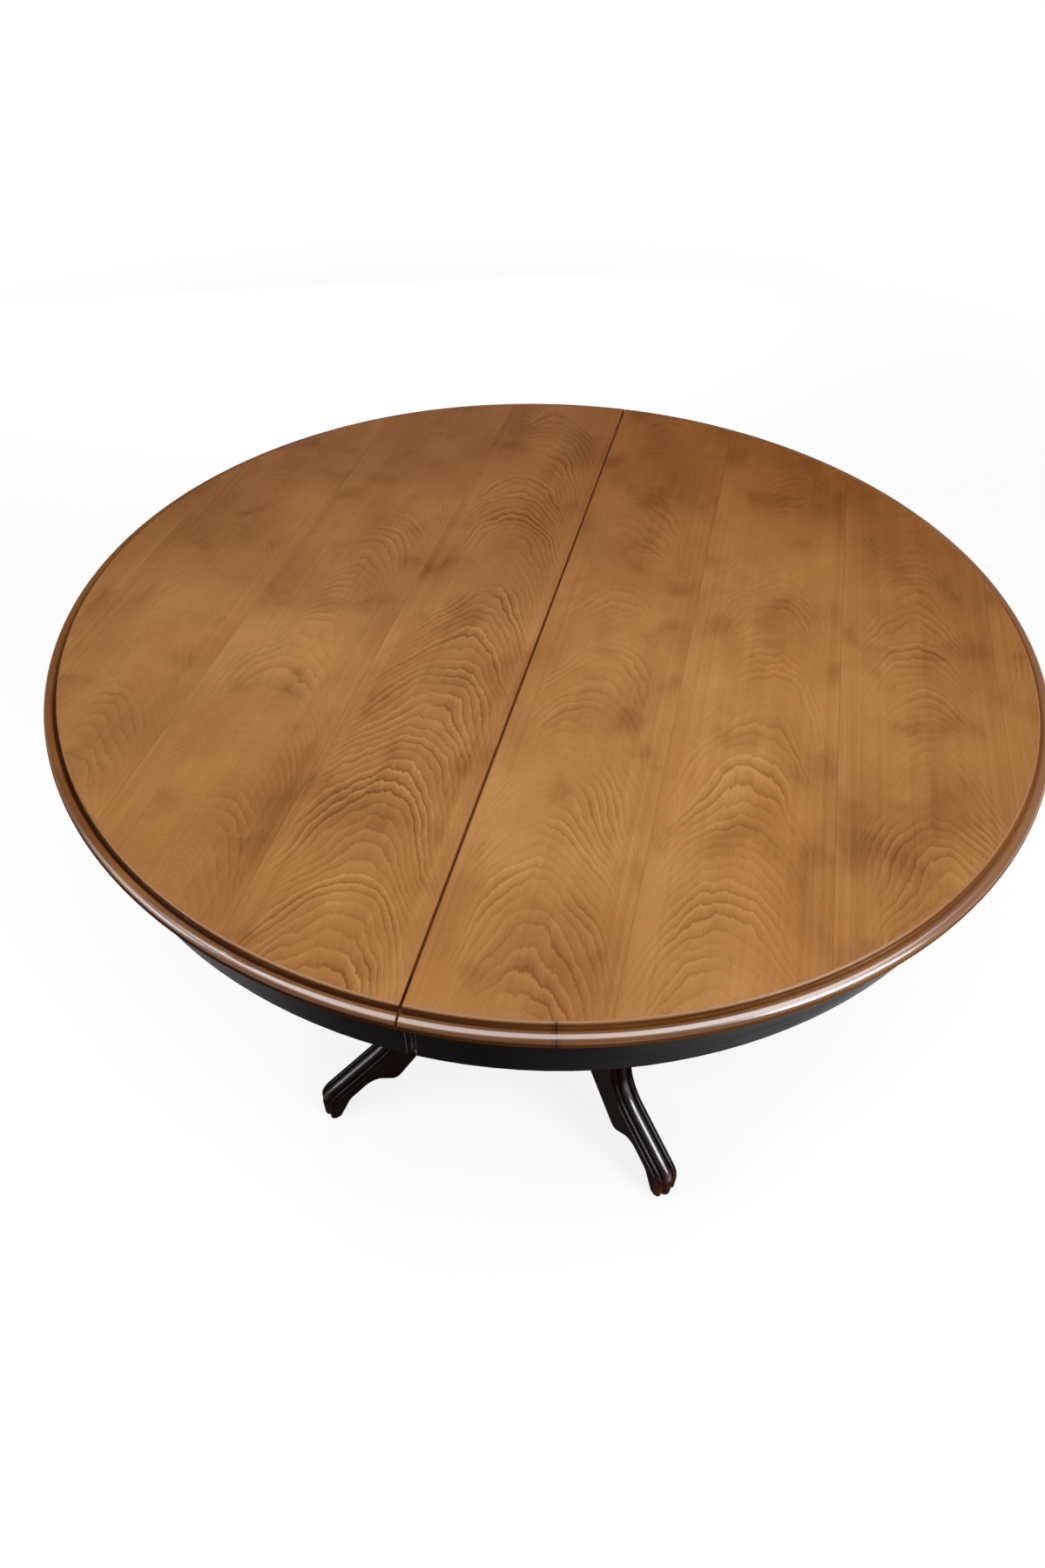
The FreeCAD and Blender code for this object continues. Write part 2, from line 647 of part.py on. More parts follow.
def lever():
    """Latch lever, parked along the seam; its notch takes the peg when it swings across."""
    reach = 2 * LATCH_PIVOT
    half = LEVER_WIDTH / 2
    tip = reach + LEVER_WIDTH
    tab_thickness, tab_drop = LEVER_TAB
    arm = upright(LEVER_BOSS, 0, 0, LEVER_BOTTOM, LEVER_TOP)
    arm = arm.fuse(box(-half, half, 0, tip, LEVER_BOTTOM, LEVER_TOP))
    arm = arm.fuse(box(-half, half, tip - tab_thickness, tip, LEVER_BOTTOM - tab_drop, LEVER_TOP))
    notch = PEG_RADIUS + PEG_GAP
    arm = arm.cut(upright(notch, 0, reach, LEVER_BOTTOM, LEVER_TOP))
    arm = arm.cut(box(-LEVER_WIDTH, 0, reach - notch, reach + notch, LEVER_BOTTOM, LEVER_TOP))
    arm = arm.cut(upright(LATCH_PIN_RADIUS + LATCH_FIT, 0, 0, LEVER_BOTTOM, LEVER_TOP)).removeSplitter()
    arm.translate(Vector(LATCH_PIVOT, -LATCH_OFFSET, 0))
    return arm


def rounded(corners):
    """Line steps with an arc at each inner corner; the corners are (x, z, radius)."""
    steps = []
    for before, here, after in zip(corners, corners[1:], corners[2:]):
        corner = Vector(here[0], 0, here[1])
        back = (Vector(before[0], 0, before[1]) - corner).normalize()
        ahead = (Vector(after[0], 0, after[1]) - corner).normalize()
        half = back.getAngle(ahead) / 2
        cut = here[2] / math.tan(half)
        inward = (back + ahead).normalize() * (here[2] / math.sin(half) - here[2])
        first, middle, last = corner + back * cut, corner + inward, corner + ahead * cut
        steps.append(((first.x, first.z),))
        steps.append(((middle.x, middle.z), (last.x, last.z)))
    steps.append((corners[-1][:2],))
    return steps


def reeds(spine):
    """Three reeds swept along the crest of a foot and down the end of its toe."""
    d = SIDE_REED_AT
    y = (REED ** 2 - SIDE_REED ** 2 + d ** 2) / (2 * d)
    h = math.sqrt(REED ** 2 - y ** 2)
    side_angle = math.degrees(math.atan2(h, d - y))
    edge = d + SIDE_REED
    middle = on_circle((d, 0), SIDE_REED, (180 - side_angle) / 2)
    edges = path((-edge, -REED_BURY), [
        ((-edge, 0),),
        ((-middle[0], middle[1]), (-y, h)),
        ((0, REED), (y, h)),
        (middle, (edge, 0)),
        ((edge, -REED_BURY),),
        ((-edge, -REED_BURY),),
    ], lambda across, out: Vector(BLOCK_FACE, across, FOOT_RISE + out))
    return Part.Wire(spine).makePipeShell([Part.Wire(edges)], True, False)


def foot():
    """Sabre foot along +X, bolted to the face of the column's block."""
    crest_corners = [
        (BLOCK_FACE, FOOT_RISE),
        (BLOCK_FACE + SHOULDER_OUT, FOOT_RISE, SHOULDER_RADIUS),
        (FOOT_REACH - ANKLE_BACK, ANKLE_HEIGHT, ANKLE_RADIUS),
        (FOOT_REACH, TOE_HEIGHT, TOE_RADIUS),
        (FOOT_REACH, GLIDE_HEIGHT),
    ]
    heel = (FOOT_REACH - HEEL_BACK, GLIDE_HEIGHT)
    sole_corners = [
        heel,
        (FOOT_REACH - INSTEP_BACK, INSTEP_HEIGHT, INSTEP_RADIUS),
        (FOOT_REACH - ARCH_BACK, ARCH_HEIGHT, ARCH_RADIUS),
        (FOOT_REACH - KNEE_BACK, KNEE_HEIGHT, KNEE_RADIUS),
        (BLOCK_FACE + HOLLOW_OUT, FOOT_JOIN_LOW - HOLLOW_DROP, HOLLOW_RADIUS),
        (BLOCK_FACE, FOOT_JOIN_LOW),
    ]

    def at(x, z):
        return Vector(x, 0, z)

    crest = path(crest_corners[0], rounded(crest_corners), at)
    sole = path(heel, rounded(sole_corners), at)
    ends = [Part.makeLine(at(FOOT_REACH, GLIDE_HEIGHT), at(*heel)),
            Part.makeLine(at(*sole_corners[-1]), at(*crest_corners[0]))]
    outline = Part.Face(Part.Wire(crest + ends[:1] + sole + ends[1:]))
    outline.translate(Vector(0, -FOOT_WIDTH / 2, 0))
    blade = outline.extrude(Vector(0, FOOT_WIDTH, 0))
    soft = []
    for edge in blade.Edges:
        centre = edge.CenterOfMass
        for low in sole:
            flat = Vector(centre.x, 0, centre.z)
            if flat.distanceToPoint(low.CenterOfMass) < 0.01 and abs(centre.y) > 0.4 * FOOT_WIDTH:
                soft.append(edge)
    blade = blade.makeFillet(FOOT_ROUND, soft)
    whole = blade.fuse(reeds(crest)).removeSplitter()
    for z in BOLT_HEIGHTS:
        hole = rod(BOLT_RADIUS + BOLT_GAP, Vector(0, 0, z), Vector(BLOCK_FACE + BOLT_BITE, 0, z))
        whole = whole.cut(hole)
    return whole


def glide():
    middle = FOOT_REACH + (SIDE_REED - HEEL_BACK) / 2
    return upright(GLIDE_RADIUS, middle, 0, 0, GLIDE_HEIGHT)


def foot_hardware():
    """Bolts, washers and nuts of one foot along +X."""
    wall = SOCKET_WIDTH / 2
    bolts, washers, nuts = [], [], []
    for z in BOLT_HEIGHTS:
        def at(x):
            return Vector(x, 0, z)

        face = wall - WASHER
        bolts.append(rod(BOLT_RADIUS, at(face - NUT - BOLT_END), at(BLOCK_FACE + BOLT_BITE)))
        disc = rod(WASHER_RADIUS, at(face), at(wall))
        washers.append(disc.cut(rod(BOLT_RADIUS + BOLT_GAP, at(face), at(wall))))
        nut = hexagon(NUT_RADIUS, NUT)
        nut.rotate(ORIGIN, Vector(0, 1, 0), 90)
        nut.translate(at(face - NUT))
        nuts.append(nut.cut(rod(BOLT_RADIUS + NUT_FIT, at(face - NUT), at(face))))
    return bolts, washers, nuts


def column():
    """Square block with the bolt socket, and the turned stem above it."""
    block = box(-BLOCK_FACE, BLOCK_FACE, -BLOCK_FACE, BLOCK_FACE, BLOCK_BOTTOM, BLOCK_TOP)
    block = block.makeChamfer(BLOCK_CHAMFER, block.Edges)
    ring = BLOCK_TOP + COLLAR_HEIGHT
    fillet = ring + RING_HEIGHT
    low = fillet + FILLET_HEIGHT
    flange = BOARD_BOTTOM - FLANGE_HEIGHT
    capital = flange - CAPITAL_HEIGHT
    astragal = capital - ASTRAGAL_HEIGHT

    def vase(height, share):
        """Point between the neck and the belly, at a share of the vase's height."""
        return NECK_RADIUS + share * (BELLY_RADIUS - NECK_RADIUS), low + height * (astragal - low)

    stem = section((0, BLOCK_TOP), [
        ((COLLAR_RADIUS, BLOCK_TOP),),
        ((COLLAR_RADIUS, ring),),
        ((RING_RADIUS, (ring + fillet) / 2), (COLLAR_RADIUS, fillet)),
        ((FILLET_RADIUS, fillet),),
        ((FILLET_RADIUS, low),),
        (vase(0.15, 0.83), vase(0.3, 1.0), vase(0.6, 0.66), vase(0.86, 0.17), vase(1.0, 0.0)),
        ((ASTRAGAL_EDGE, astragal),),
        ((ASTRAGAL_RADIUS, (astragal + capital) / 2), (ASTRAGAL_EDGE, capital)),
        ((CAPITAL_NECK, capital),),
        (((4 * CAPITAL_NECK + CAPITAL_RADIUS) / 5, (capital + 2 * flange) / 3), (CAPITAL_RADIUS, flange)),
        ((FLANGE_RADIUS, flange),),
        ((FLANGE_RADIUS, BOARD_BOTTOM),),
        ((0, BOARD_BOTTOM),),
    ])
    post = block.fuse(revolve(stem)).removeSplitter()
    half = SOCKET_WIDTH / 2
    post = post.cut(box(-half, half, -half, half, BLOCK_BOTTOM, BLOCK_TOP - SOCKET_ROOF))
    for z in BOLT_HEIGHTS:
        for across in (Vector(BLOCK_FACE, 0, 0), Vector(0, BLOCK_FACE, 0)):
            middle = Vector(0, 0, z)
            post = post.cut(rod(BOLT_RADIUS + BOLT_GAP, middle - across, middle + across))
    post = turned(post, 45)
    for x, y in head_bolt_places():
        bottom = BOARD_BOTTOM - HEAD_BOLT_LENGTH
        post = post.cut(upright(HEAD_BOLT_RADIUS + BOLT_GAP, x, y, bottom, BOARD_BOTTOM))
    return post


def drop():
    """Turned drop that plugs the socket from below."""
    edge = BLOCK_BOTTOM - DROP_EDGE
    sweep = edge - DROP_SWEEP
    neck = sweep - DROP_NECK
    ball = neck - math.sqrt(DROP_BALL_RADIUS ** 2 - DROP_NECK_RADIUS ** 2)
    middle = ((2 * DROP_NECK_RADIUS + DROP_RADIUS) / 3, (edge + 3 * sweep) / 4)
    body = revolve(section((0, BLOCK_BOTTOM), [
        ((0, ball - DROP_BALL_RADIUS),),
        (on_circle((0, ball), DROP_BALL_RADIUS, -15), (DROP_NECK_RADIUS, neck)),
        ((DROP_NECK_RADIUS, sweep),),
        (middle, (DROP_RADIUS, edge)),
        ((DROP_RADIUS, BLOCK_BOTTOM),),
    ]))
    half = SOCKET_WIDTH / 2 - DROP_GAP
    spigot = box(-half, half, -half, half, BLOCK_BOTTOM, BLOCK_BOTTOM + DROP_SPIGOT)
    return turned(body.fuse(spigot).removeSplitter(), 45)


def half_top():
    """Nodes of the right half; the left half is the same, turned half round."""
    closer, front, rear = rim_segments()
    return {
        "top_core": core(),
        "face_veneer": face_veneer(),
        "rim_closer": closer,
        "rim_long_a": front,
        "rim_long_b": rear,
        "apron": apron(),
        "glue_blocks": glue_blocks(),
        "seam_dowels": dowels(),
        "inner_runner": runner(RUNNER_FACES[0]),
        "outer_runner": runner(RUNNER_FACES[1]),
        "rack": rack(),
        "slide_screws": slide_screws(),
        "latch_base": latch_base(),
        "latch_keeper": keeper(),
        "latch_lever": lever(),
        "latch_screws": latch_screws(),
    }


def pedestal():
    nodes = {
        "column": column(),
        "column_drop": drop(),
        "head_board": head_board(),
        "head_bolts": head_bolts(),
        "front_rail": rail(-RAIL_OFFSET),
        "rear_rail": rail(RAIL_OFFSET),
        "rail_screws": rail_screws(),
        "equalizer_pinion": pinion(),
        "pinion_axle": axle(),
    }
    one_foot = foot()
    bolts, washers, nuts = foot_hardware()
    groups = {"foot_bolts": bolts, "foot_washers": washers, "foot_nuts": nuts, "foot_glides": [glide()]}
    for name, degrees in FOOT_ANGLES.items():
        nodes["foot_" + name] = turned(one_foot, degrees)
    for name, pieces in groups.items():
        copies = [turned(piece, degrees) for degrees in FOOT_ANGLES.values() for piece in pieces]
        nodes[name] = Part.makeCompound(copies)
    return nodes


os.makedirs("parts", exist_ok=True)
table = pedestal()
for name, shape in half_top().items():
    table["right_" + name] = shape
    table["left_" + name] = turned(shape, 180)
for name, shape in table.items():
    shape.exportStep("parts/" + name + ".step")
    print(name, len(shape.Solids), round(shape.Volume), shape.isValid())
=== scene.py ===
# %% [markdown]
# # A round extension table, dressed in Blender
# The solids of the table come from a imported CAD model and stay where they are. They could be modelled
# again here, but the model already holds them. So this lesson gives each of them its
# finish, closes the seam of the top with two thin edge bands, models the screws again with crosses in
# their heads, and sets up a studio that shows the table from the same place as the photograph.

# %% Load the table
import math

import bmesh
import bpy
from mathutils import Matrix, Vector


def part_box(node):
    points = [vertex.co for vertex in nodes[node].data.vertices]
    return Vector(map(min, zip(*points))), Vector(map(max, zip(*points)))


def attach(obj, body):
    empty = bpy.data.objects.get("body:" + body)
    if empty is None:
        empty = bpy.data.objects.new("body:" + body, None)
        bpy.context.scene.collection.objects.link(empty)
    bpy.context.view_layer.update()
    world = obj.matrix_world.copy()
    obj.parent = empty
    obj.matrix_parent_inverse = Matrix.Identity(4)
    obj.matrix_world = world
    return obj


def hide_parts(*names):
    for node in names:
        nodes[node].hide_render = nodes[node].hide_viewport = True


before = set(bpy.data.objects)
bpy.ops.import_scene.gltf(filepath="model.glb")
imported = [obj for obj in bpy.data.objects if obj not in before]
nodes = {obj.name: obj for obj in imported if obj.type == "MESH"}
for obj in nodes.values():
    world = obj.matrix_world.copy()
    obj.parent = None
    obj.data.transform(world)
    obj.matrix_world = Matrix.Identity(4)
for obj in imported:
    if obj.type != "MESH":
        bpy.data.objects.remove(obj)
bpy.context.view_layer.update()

# %% [markdown]
# ## The camera
# The photograph was taken from close by, looking down, so the near rim looks wide. A camera could be set
# up by eye, but from so near a small error shows. Its place and its turn were found by laying the outline
# of the solids over the photograph. They are written as the place, and as the two directions that the
# camera calls right and up. The third, back, stands square to both.

# %% Camera
CAMERA_PLACE = Vector((0.16674, -0.84771, 1.37361))
CAMERA_RIGHT = Vector((0.972285, 0.233324, 0.014881))
CAMERA_UP = Vector((-0.176604, 0.691236, 0.700717))
CAMERA_LENS_MM = 23.083
CAMERA_SIGHT = 200

lens = bpy.data.cameras.new("camera")
lens.lens = CAMERA_LENS_MM
lens.clip_end = CAMERA_SIGHT
camera = bpy.data.objects.new("camera", lens)
bpy.context.collection.objects.link(camera)
turn = Matrix((CAMERA_RIGHT, CAMERA_UP, CAMERA_RIGHT.cross(CAMERA_UP))).transposed()
camera.matrix_world = Matrix.Translation(CAMERA_PLACE) @ turn.to_4x4()
bpy.context.scene.camera = camera
print("camera", tuple(camera.location), "looks down", round(math.degrees(math.asin(turn.col[2].z)), 1))

# %% [markdown]
# ## A small language for finishes
# Every finish is a graph of shader nodes. It could be wired by hand in the shader editor, but hundreds of
# links hide the idea. So one class wraps an output socket and lets Python arithmetic add the Math nodes.
# A second one grows a tree of nodes, and a third is a tree that belongs to a material.


# %% Arithmetic on the outputs of nodes
class Wire:
    """An output of a shader node that takes part in Python arithmetic."""

    def __init__(self, graph, socket):
        self.graph = graph
        self.socket = socket

    def math(self, operation, *values):
        return self.graph.node("ShaderNodeMath", {"operation": operation}, dict(enumerate(values)))

    def __add__(self, other):
        return self.math("ADD", self, other)

    def __radd__(self, other):
        return self.math("ADD", other, self)

    def __sub__(self, other):
        return self.math("SUBTRACT", self, other)

    def __rsub__(self, other):
        return self.math("SUBTRACT", other, self)

    def __mul__(self, other):
        return self.math("MULTIPLY", self, other)

    def __rmul__(self, other):
        return self.math("MULTIPLY", other, self)

    def __truediv__(self, other):
        return self.math("DIVIDE", self, other)

    def __rtruediv__(self, other):
        return self.math("DIVIDE", other, self)

    def __pow__(self, other):
        return self.math("POWER", self, other)

    def __mod__(self, other):
        return self.math("FLOORED_MODULO", self, other)

    def __abs__(self):
        return self.math("ABSOLUTE", self)

    def __floor__(self):
        return self.math("FLOOR", self)

    def sign(self):
        return self.math("SIGN", self)

    def sine(self):
        return self.math("SINE", self)

    def angle(self, run):
        """The angle, in radians, of a slope with this rise and the given run."""
        return self.math("ARCTAN2", self, run)

    def or_more(self, other):
        """The larger of two values."""
        return self.math("MAXIMUM", self, other)

    def rise(self, low, high):
        """0 below low, 1 above high, and a smooth step between them."""
        return self.graph.node(
            "ShaderNodeMapRange",
            {"interpolation_type": "SMOOTHSTEP"},
            {"Value": self, "From Min": low, "From Max": high},
        )

    def fall(self, low, high):
        """1 below low, 0 above high, and a smooth step between them."""
        return 1.0 - self.rise(low, high)


# %% A tree of nodes
class Graph:
    """A tree of shader nodes that grows one call at a time."""

    def __init__(self, owner):
        owner.use_nodes = True
        self.owner = owner
        self.tree = owner.node_tree

    def node(self, kind, settings=None, sockets=None, out=0):
        """Add a node, set its settings and then its sockets, and give back one of its outputs."""
        made = self.tree.nodes.new(kind)
        for name, value in (settings or {}).items():
            if name == "stops":
                self.set_stops(made.color_ramp, value)
            else:
                setattr(made, name, value)
        self.feed(made, sockets or {})
        return Wire(self, made.outputs[out])

    @staticmethod
    def set_stops(ramp, stops):
        """Give a ramp, which starts with two stops, as many as are asked for."""
        for _ in stops[2:]:
            ramp.elements.new(0.5)
        for stop, (position, colour) in zip(ramp.elements, stops):
            stop.position = position
            stop.color = colour

    def feed(self, made, sockets):
        """Link a wire to a socket of a node, or set a plain value on it."""
        for name, value in sockets.items():
            if isinstance(value, Wire):
                self.tree.links.new(value.socket, made.inputs[name])
            else:
                made.inputs[name].default_value = value

    def split(self, vector):
        """The x, y and z of a place or a direction."""
        made = self.node("ShaderNodeSeparateXYZ", sockets={0: vector}).socket.node
        return [Wire(self, socket) for socket in made.outputs]

    def report(self, step):
        print(self.owner.name + ":", step, "in place,", len(self.tree.nodes), "nodes so far")


# %% A material
class Finish(Graph):
    """A material whose patterns follow the place of each point on the table."""

    def __init__(self, name):
        super().__init__(bpy.data.materials.new(name))
        self.x, self.y, self.z = self.split(self.node("ShaderNodeTexCoord", out="Object"))

    def from_axis(self):
        return (self.x * self.x + self.y * self.y) ** 0.5

    def noise(self, x, y, z, detail=2.0, roughness=0.5):
        """Blotches from 0 to 1. A place divided by a length gives blotches of about that length."""
        spot = self.node("ShaderNodeCombineXYZ", sockets={"X": x, "Y": y, "Z": z})
        kind = {"Scale": 1, "Detail": detail, "Roughness": roughness}
        return self.node("ShaderNodeTexNoise", sockets={"Vector": spot, **kind})

    def waver(self, x, y, z, detail=2.0, roughness=0.5):
        """The same blotches, as much below zero as above it."""
        return self.noise(x, y, z, detail, roughness) - 0.5

    def ramp(self, value, *stops):
        return self.node("ShaderNodeValToRGB", {"stops": stops}, {0: value})

    def mix(self, share, first, second, blend="MIX"):
        settings = {"data_type": "RGBA", "blend_type": blend, "clamp_factor": True}
        return self.node("ShaderNodeMix", settings, {0: share, 6: first, 7: second}, 2)

    def tint(self, share, colour, glass):
        """Look at a colour through a tinted glass."""
        return self.mix(share, colour, (*glass, 1), "MULTIPLY")

    def bump(self, height, depth, strength):
        sockets = {"Height": height, "Distance": depth, "Strength": strength}
        return self.node("ShaderNodeBump", sockets=sockets)

    def surface(self, **sockets):
        """Feed the shader. A low line in a name stands for a space in the name of the socket."""
        names = {name.replace("_", " "): value for name, value in sockets.items()}
        self.feed(self.tree.nodes["Principled BSDF"], names)
        self.report("surface")

    def cover(self, piece):
        piece.data.materials.clear()
        piece.data.materials.append(self.owner)

    def dress(self, *names):
        for name in names:
            self.cover(nodes[name])


# %% [markdown]
# ## The floor
# The table in the photograph stands before plain white. A white floor under strong lamps would do that,
# but the lamps would wash out the dark lacquer, and the floor's far edge would show as a horizon. So the
# floor glows softly by itself, brighter with distance, until it can't be told from the backdrop. Near the
# table it stays a little darker, which leaves room for a faint shadow.

# %% Floor
FLOOR_WIDTH = 60
GLOW_STARTS, GLOW_ENDS = 1.2, 5.0
GLOW_NEAR, GLOW_FAR = 0.78, 0.99


def start(primitive, **sizes):
    """Add a primitive while nothing else is selected, and give it back."""
    bpy.ops.object.select_all(action="DESELECT")
    primitive(**sizes)
    return bpy.context.object


def grey(level):
    return (level, level, level, 1)


floor = start(bpy.ops.mesh.primitive_plane_add, size=FLOOR_WIDTH, location=(0, 0, 0))
floor.name = "floor"
paint = Finish("floor_paint")
distance = paint.from_axis().rise(GLOW_STARTS, GLOW_ENDS)
paint.surface(
    Base_Color=grey(0.28),
    Roughness=0.9,
    Specular_IOR_Level=0.0,
    Emission_Color=paint.ramp(distance, (0.0, grey(GLOW_NEAR)), (1.0, grey(GLOW_FAR))),
    Emission_Strength=1.0,
)
paint.cover(floor)

# %% [markdown]
# ## The soft boxes
# The rounded edge of the top carries long bright streaks with soft ends. Spot lamps would leave hard dots
# there, so the lamps are soft boxes: the larger the face of a lamp, the softer its streaks and shadows. The
# biggest hangs over the near side, turned a little, for the flat of the top. One wing on each side draws
# the streaks, and a low lamp behind lifts the rear.


# %% Soft boxes
def soft_box(name, place, aim, face, watts, tint, turn=0.0):
    """A rectangular lamp that faces its aim, turned by some degrees in its own plane."""
    data = bpy.data.lights.new(name, "AREA")
    data.shape = "RECTANGLE"
    data.size, data.size_y = face
    data.energy = watts
    data.color = tint
    lamp = bpy.data.objects.new(name, data)
    bpy.context.collection.objects.link(lamp)
    facing = (Vector(aim) - Vector(place)).to_track_quat("-Z", "Y").to_matrix()
    facing = facing @ Matrix.Rotation(math.radians(turn), 3, "Z")
    lamp.matrix_world = Matrix.Translation(place) @ facing.to_4x4()
    lamp.visible_camera = False
    print(name, "gives", watts, "W and runs along", tuple(round(v, 2) for v in facing.col[0]))


soft_box(
    "overhead", place=(0.1, -0.75, 2.7), aim=(0.1, -0.749, 0.0), face=(3.8, 2.2), turn=25,
    watts=66, tint=(1.0, 0.98, 0.99),
)
soft_box(
    "right_wing", place=(2.85, -1.2, 2.2), aim=(0.2, -0.2, 0.3), face=(1.6, 1.6),
    watts=45, tint=(0.96, 0.97, 1.0),
)
soft_box(
    "left_wing", place=(-3.0, -1.3, 1.8), aim=(-0.2, -0.2, 0.3), face=(1.6, 1.6),
    watts=28, tint=(0.95, 0.97, 1.0),
)
soft_box(
    "rear_fill", place=(-1.2, 2.8, 0.85), aim=(0.0, 0.0, 0.4), face=(1.8, 0.9),
    watts=14, tint=(1.0, 0.99, 0.97),
)

# %% [markdown]
# ## The room
# Between the lamps, the lacquer reflects a dim room, while the picture behind the table stays white. One
# strength of the sky can't do both. A white wall behind the table could, but it would have to follow every
# view. So the sky asks what kind of ray meets it: it is bright for the camera and dim for all else.

# %% Sky
ROOM_GLOW = 0.12
BACKDROP = 1.0

sky = Graph(bpy.data.worlds.new("studio"))
seen = sky.node("ShaderNodeLightPath", out="Is Camera Ray")
strength = ROOM_GLOW + (BACKDROP - ROOM_GLOW) * seen
sky.feed(sky.tree.nodes["Background"], {"Color": grey(1), "Strength": strength})
bpy.context.scene.world = sky.owner
bpy.context.scene.view_settings.view_transform = "Standard"
sky.report("sky")

# %% [markdown]
# ## The veneer
# The face of the top is a thin sheet of wood, cut flat off a log and laid in strips 150 mm wide. A flat
# cut slices the growth rings at a low angle, so each strip carries nested arches: a pale edge, and a soft
# brown shade behind it. A picture of wood could be laid on, but it would repeat and would not stop at the
# joints. Here rings are the level lines of one number, which grows along the strip and with the square of
# the distance from the strip's middle. Slow noise bends the lines and quick noise frays them.

# %% Strips of the veneer
STRIP = 0.15
STRIP_STEP = 7.31

veneer = Finish("veneer")
x, y = veneer.x, veneer.y
strip = math.floor(x / STRIP)
across = x / STRIP - strip - 0.5
seed = strip * STRIP_STEP
veneer.report("strips of " + str(STRIP) + " m")

# %% Rings of the veneer
RING = 0.0145
ARCH_RINGS = 36.0

drift = veneer.waver(x / 0.5, y / 0.35, seed + 2.0, detail=1.0)
middle = across - 0.55 * drift
spacing = veneer.waver(x / 0.6, y / 0.085, seed + 3.0, detail=1.0)
sway = veneer.waver(x / 0.075, y / 0.26, seed + 11.0)
fray = veneer.waver(x / 0.009, y / 0.05, seed + 5.0, detail=4.0, roughness=0.65)
ring = y / RING + ARCH_RINGS * middle * middle + 4.0 * spacing + 5.0 * sway + 1.3 * fray
phase = ring % 1.0
number = ring - phase
pale_edge = phase.rise(0.6, 0.93) * phase.fall(0.94, 1.0)
shade = phase.fall(0.02, 0.55) * phase.rise(0.0, 0.05)
fine_rings = abs((ring * 3.0) % 1.0 - 0.5)
veneer.report("rings")

# %% [markdown]
# On a real top the arches don't stand out everywhere. They show in the crown, the middle of a strip, they
# come and go in patches, and some rings are stronger than others. The strip on the left of the seam is
# the most flamed, and the strips further left are the calmest. One mask for each of these could be painted
# by hand, but here the number of the strip and the place on it are enough.

# %% Where the figure shows
FLAMED_STRIP = -1
LEFT_OF_FLAMED, RIGHT_OF_FLAMED = FLAMED_STRIP - 0.5, FLAMED_STRIP + 0.5
NEAR_SIDE = (-0.4, 0.1)

weight = veneer.noise(number * 0.73, seed, 0.5, detail=0.0).rise(0.3, 0.7)
crown = abs(middle).fall(0.22, 0.5)
outer_left = strip.fall(LEFT_OF_FLAMED - 0.2, LEFT_OF_FLAMED + 0.2)
flamed = (1.0 - outer_left) * strip.fall(RIGHT_OF_FLAMED - 0.2, RIGHT_OF_FLAMED + 0.2)
patch = veneer.noise(x / 0.08, y / 0.13, seed + 23.0, detail=1.0)
patch = patch + 0.1 * y.fall(*NEAR_SIDE) - 0.1 * outer_left + 0.08 * flamed
figure = (0.12 + 0.88 * crown * patch.rise(0.42, 0.72)) * (0.25 + 0.75 * weight)
veneer.report("figure")

# %% [markdown]
# The tone adds up clouds, which are stain that took unevenly, lines along the grain, and the arches. Each
# of them could be mixed in as a colour of its own, but one tone through one ramp keeps every shade in the
# same family of browns. The wood is redder in places, so the brown is looked at through tinted glass there.
# The same glass paints shade: the top is darker towards the far side and the edge, and darker and a little
# greyer on the left.

# %% Tone of the veneer
cloud = veneer.waver(x / 0.07, y / 0.11, seed + 31.0, detail=3.0)
wide_cloud = veneer.waver(x / 0.25, y / 0.25, 3.0, detail=1.0)
smudge = veneer.noise(x / 0.05, y / 0.06, seed + 51.0).rise(0.52, 0.72)
streak = veneer.waver(x / 0.005, y / 0.5, seed + 41.0, detail=3.0, roughness=0.6)
clouds = 0.4 * cloud + 0.4 * wide_cloud + 0.03 * seed.sine() - 0.1 * smudge
lines = (0.14 + 0.16 * (1.0 - crown)) * streak + 0.07 * crown * (fine_rings - 0.25)
arches = figure * (0.8 + 0.35 * flamed) * (0.17 * pale_edge - 0.2 * shade)
tone = 0.54 + clouds + lines + arches
veneer.report("tone")

# %% Colour of the veneer
RED_GLASS = (0.92, 0.83, 0.76)
FAR_SIDE, FAR_PAINTED_SHADE = (-0.2, 0.45), (0.71, 0.55, 0.37)
OUTWARDS, EDGE_PAINTED_SHADE = (0.2, 0.5), (0.8, 0.72, 0.6)
LEFT_SIDE, LEFT_PAINTED_SHADE = (-0.5, -0.15), (0.84, 0.82, 0.8)


def srgb(red, green, blue):
    """A colour given in the numbers of a picture file, as linear light."""
    return (*(((c / 255 + 0.055) / 1.055) ** 2.4 for c in (red, green, blue)), 1)


colour = veneer.ramp(
    tone,
    (0.0, srgb(84, 47, 18)),
    (0.3, srgb(127, 82, 42)),
    (0.5, srgb(154, 107, 61)),
    (0.7, srgb(175, 128, 77)),
    (1.0, srgb(202, 158, 104)),
)
blush = veneer.noise(x / 0.1, y / 0.2, seed + 61.0).rise(0.45, 0.7)
colour = veneer.tint(0.6 * blush, colour, RED_GLASS)
# Painted shade: the brown is darker towards the far side, the edge and the left.
colour = veneer.tint(y.rise(*FAR_SIDE), colour, FAR_PAINTED_SHADE)
colour = veneer.tint(0.4 * veneer.from_axis().rise(*OUTWARDS), colour, EDGE_PAINTED_SHADE)
colour = veneer.tint(0.85 * x.fall(*LEFT_SIDE), colour, LEFT_PAINTED_SHADE)
veneer.report("colour")

# %% [markdown]
# Last come the pores, short dark dashes along the grain that also dent the lacquer, the thin dark joints
# between the strips, and the sawn edge at the seam, which is stained. The same colour is used for every
# piece that is sawn there, and as painted shade on the dowels where they cross the seam, so it is a
# function of its own.

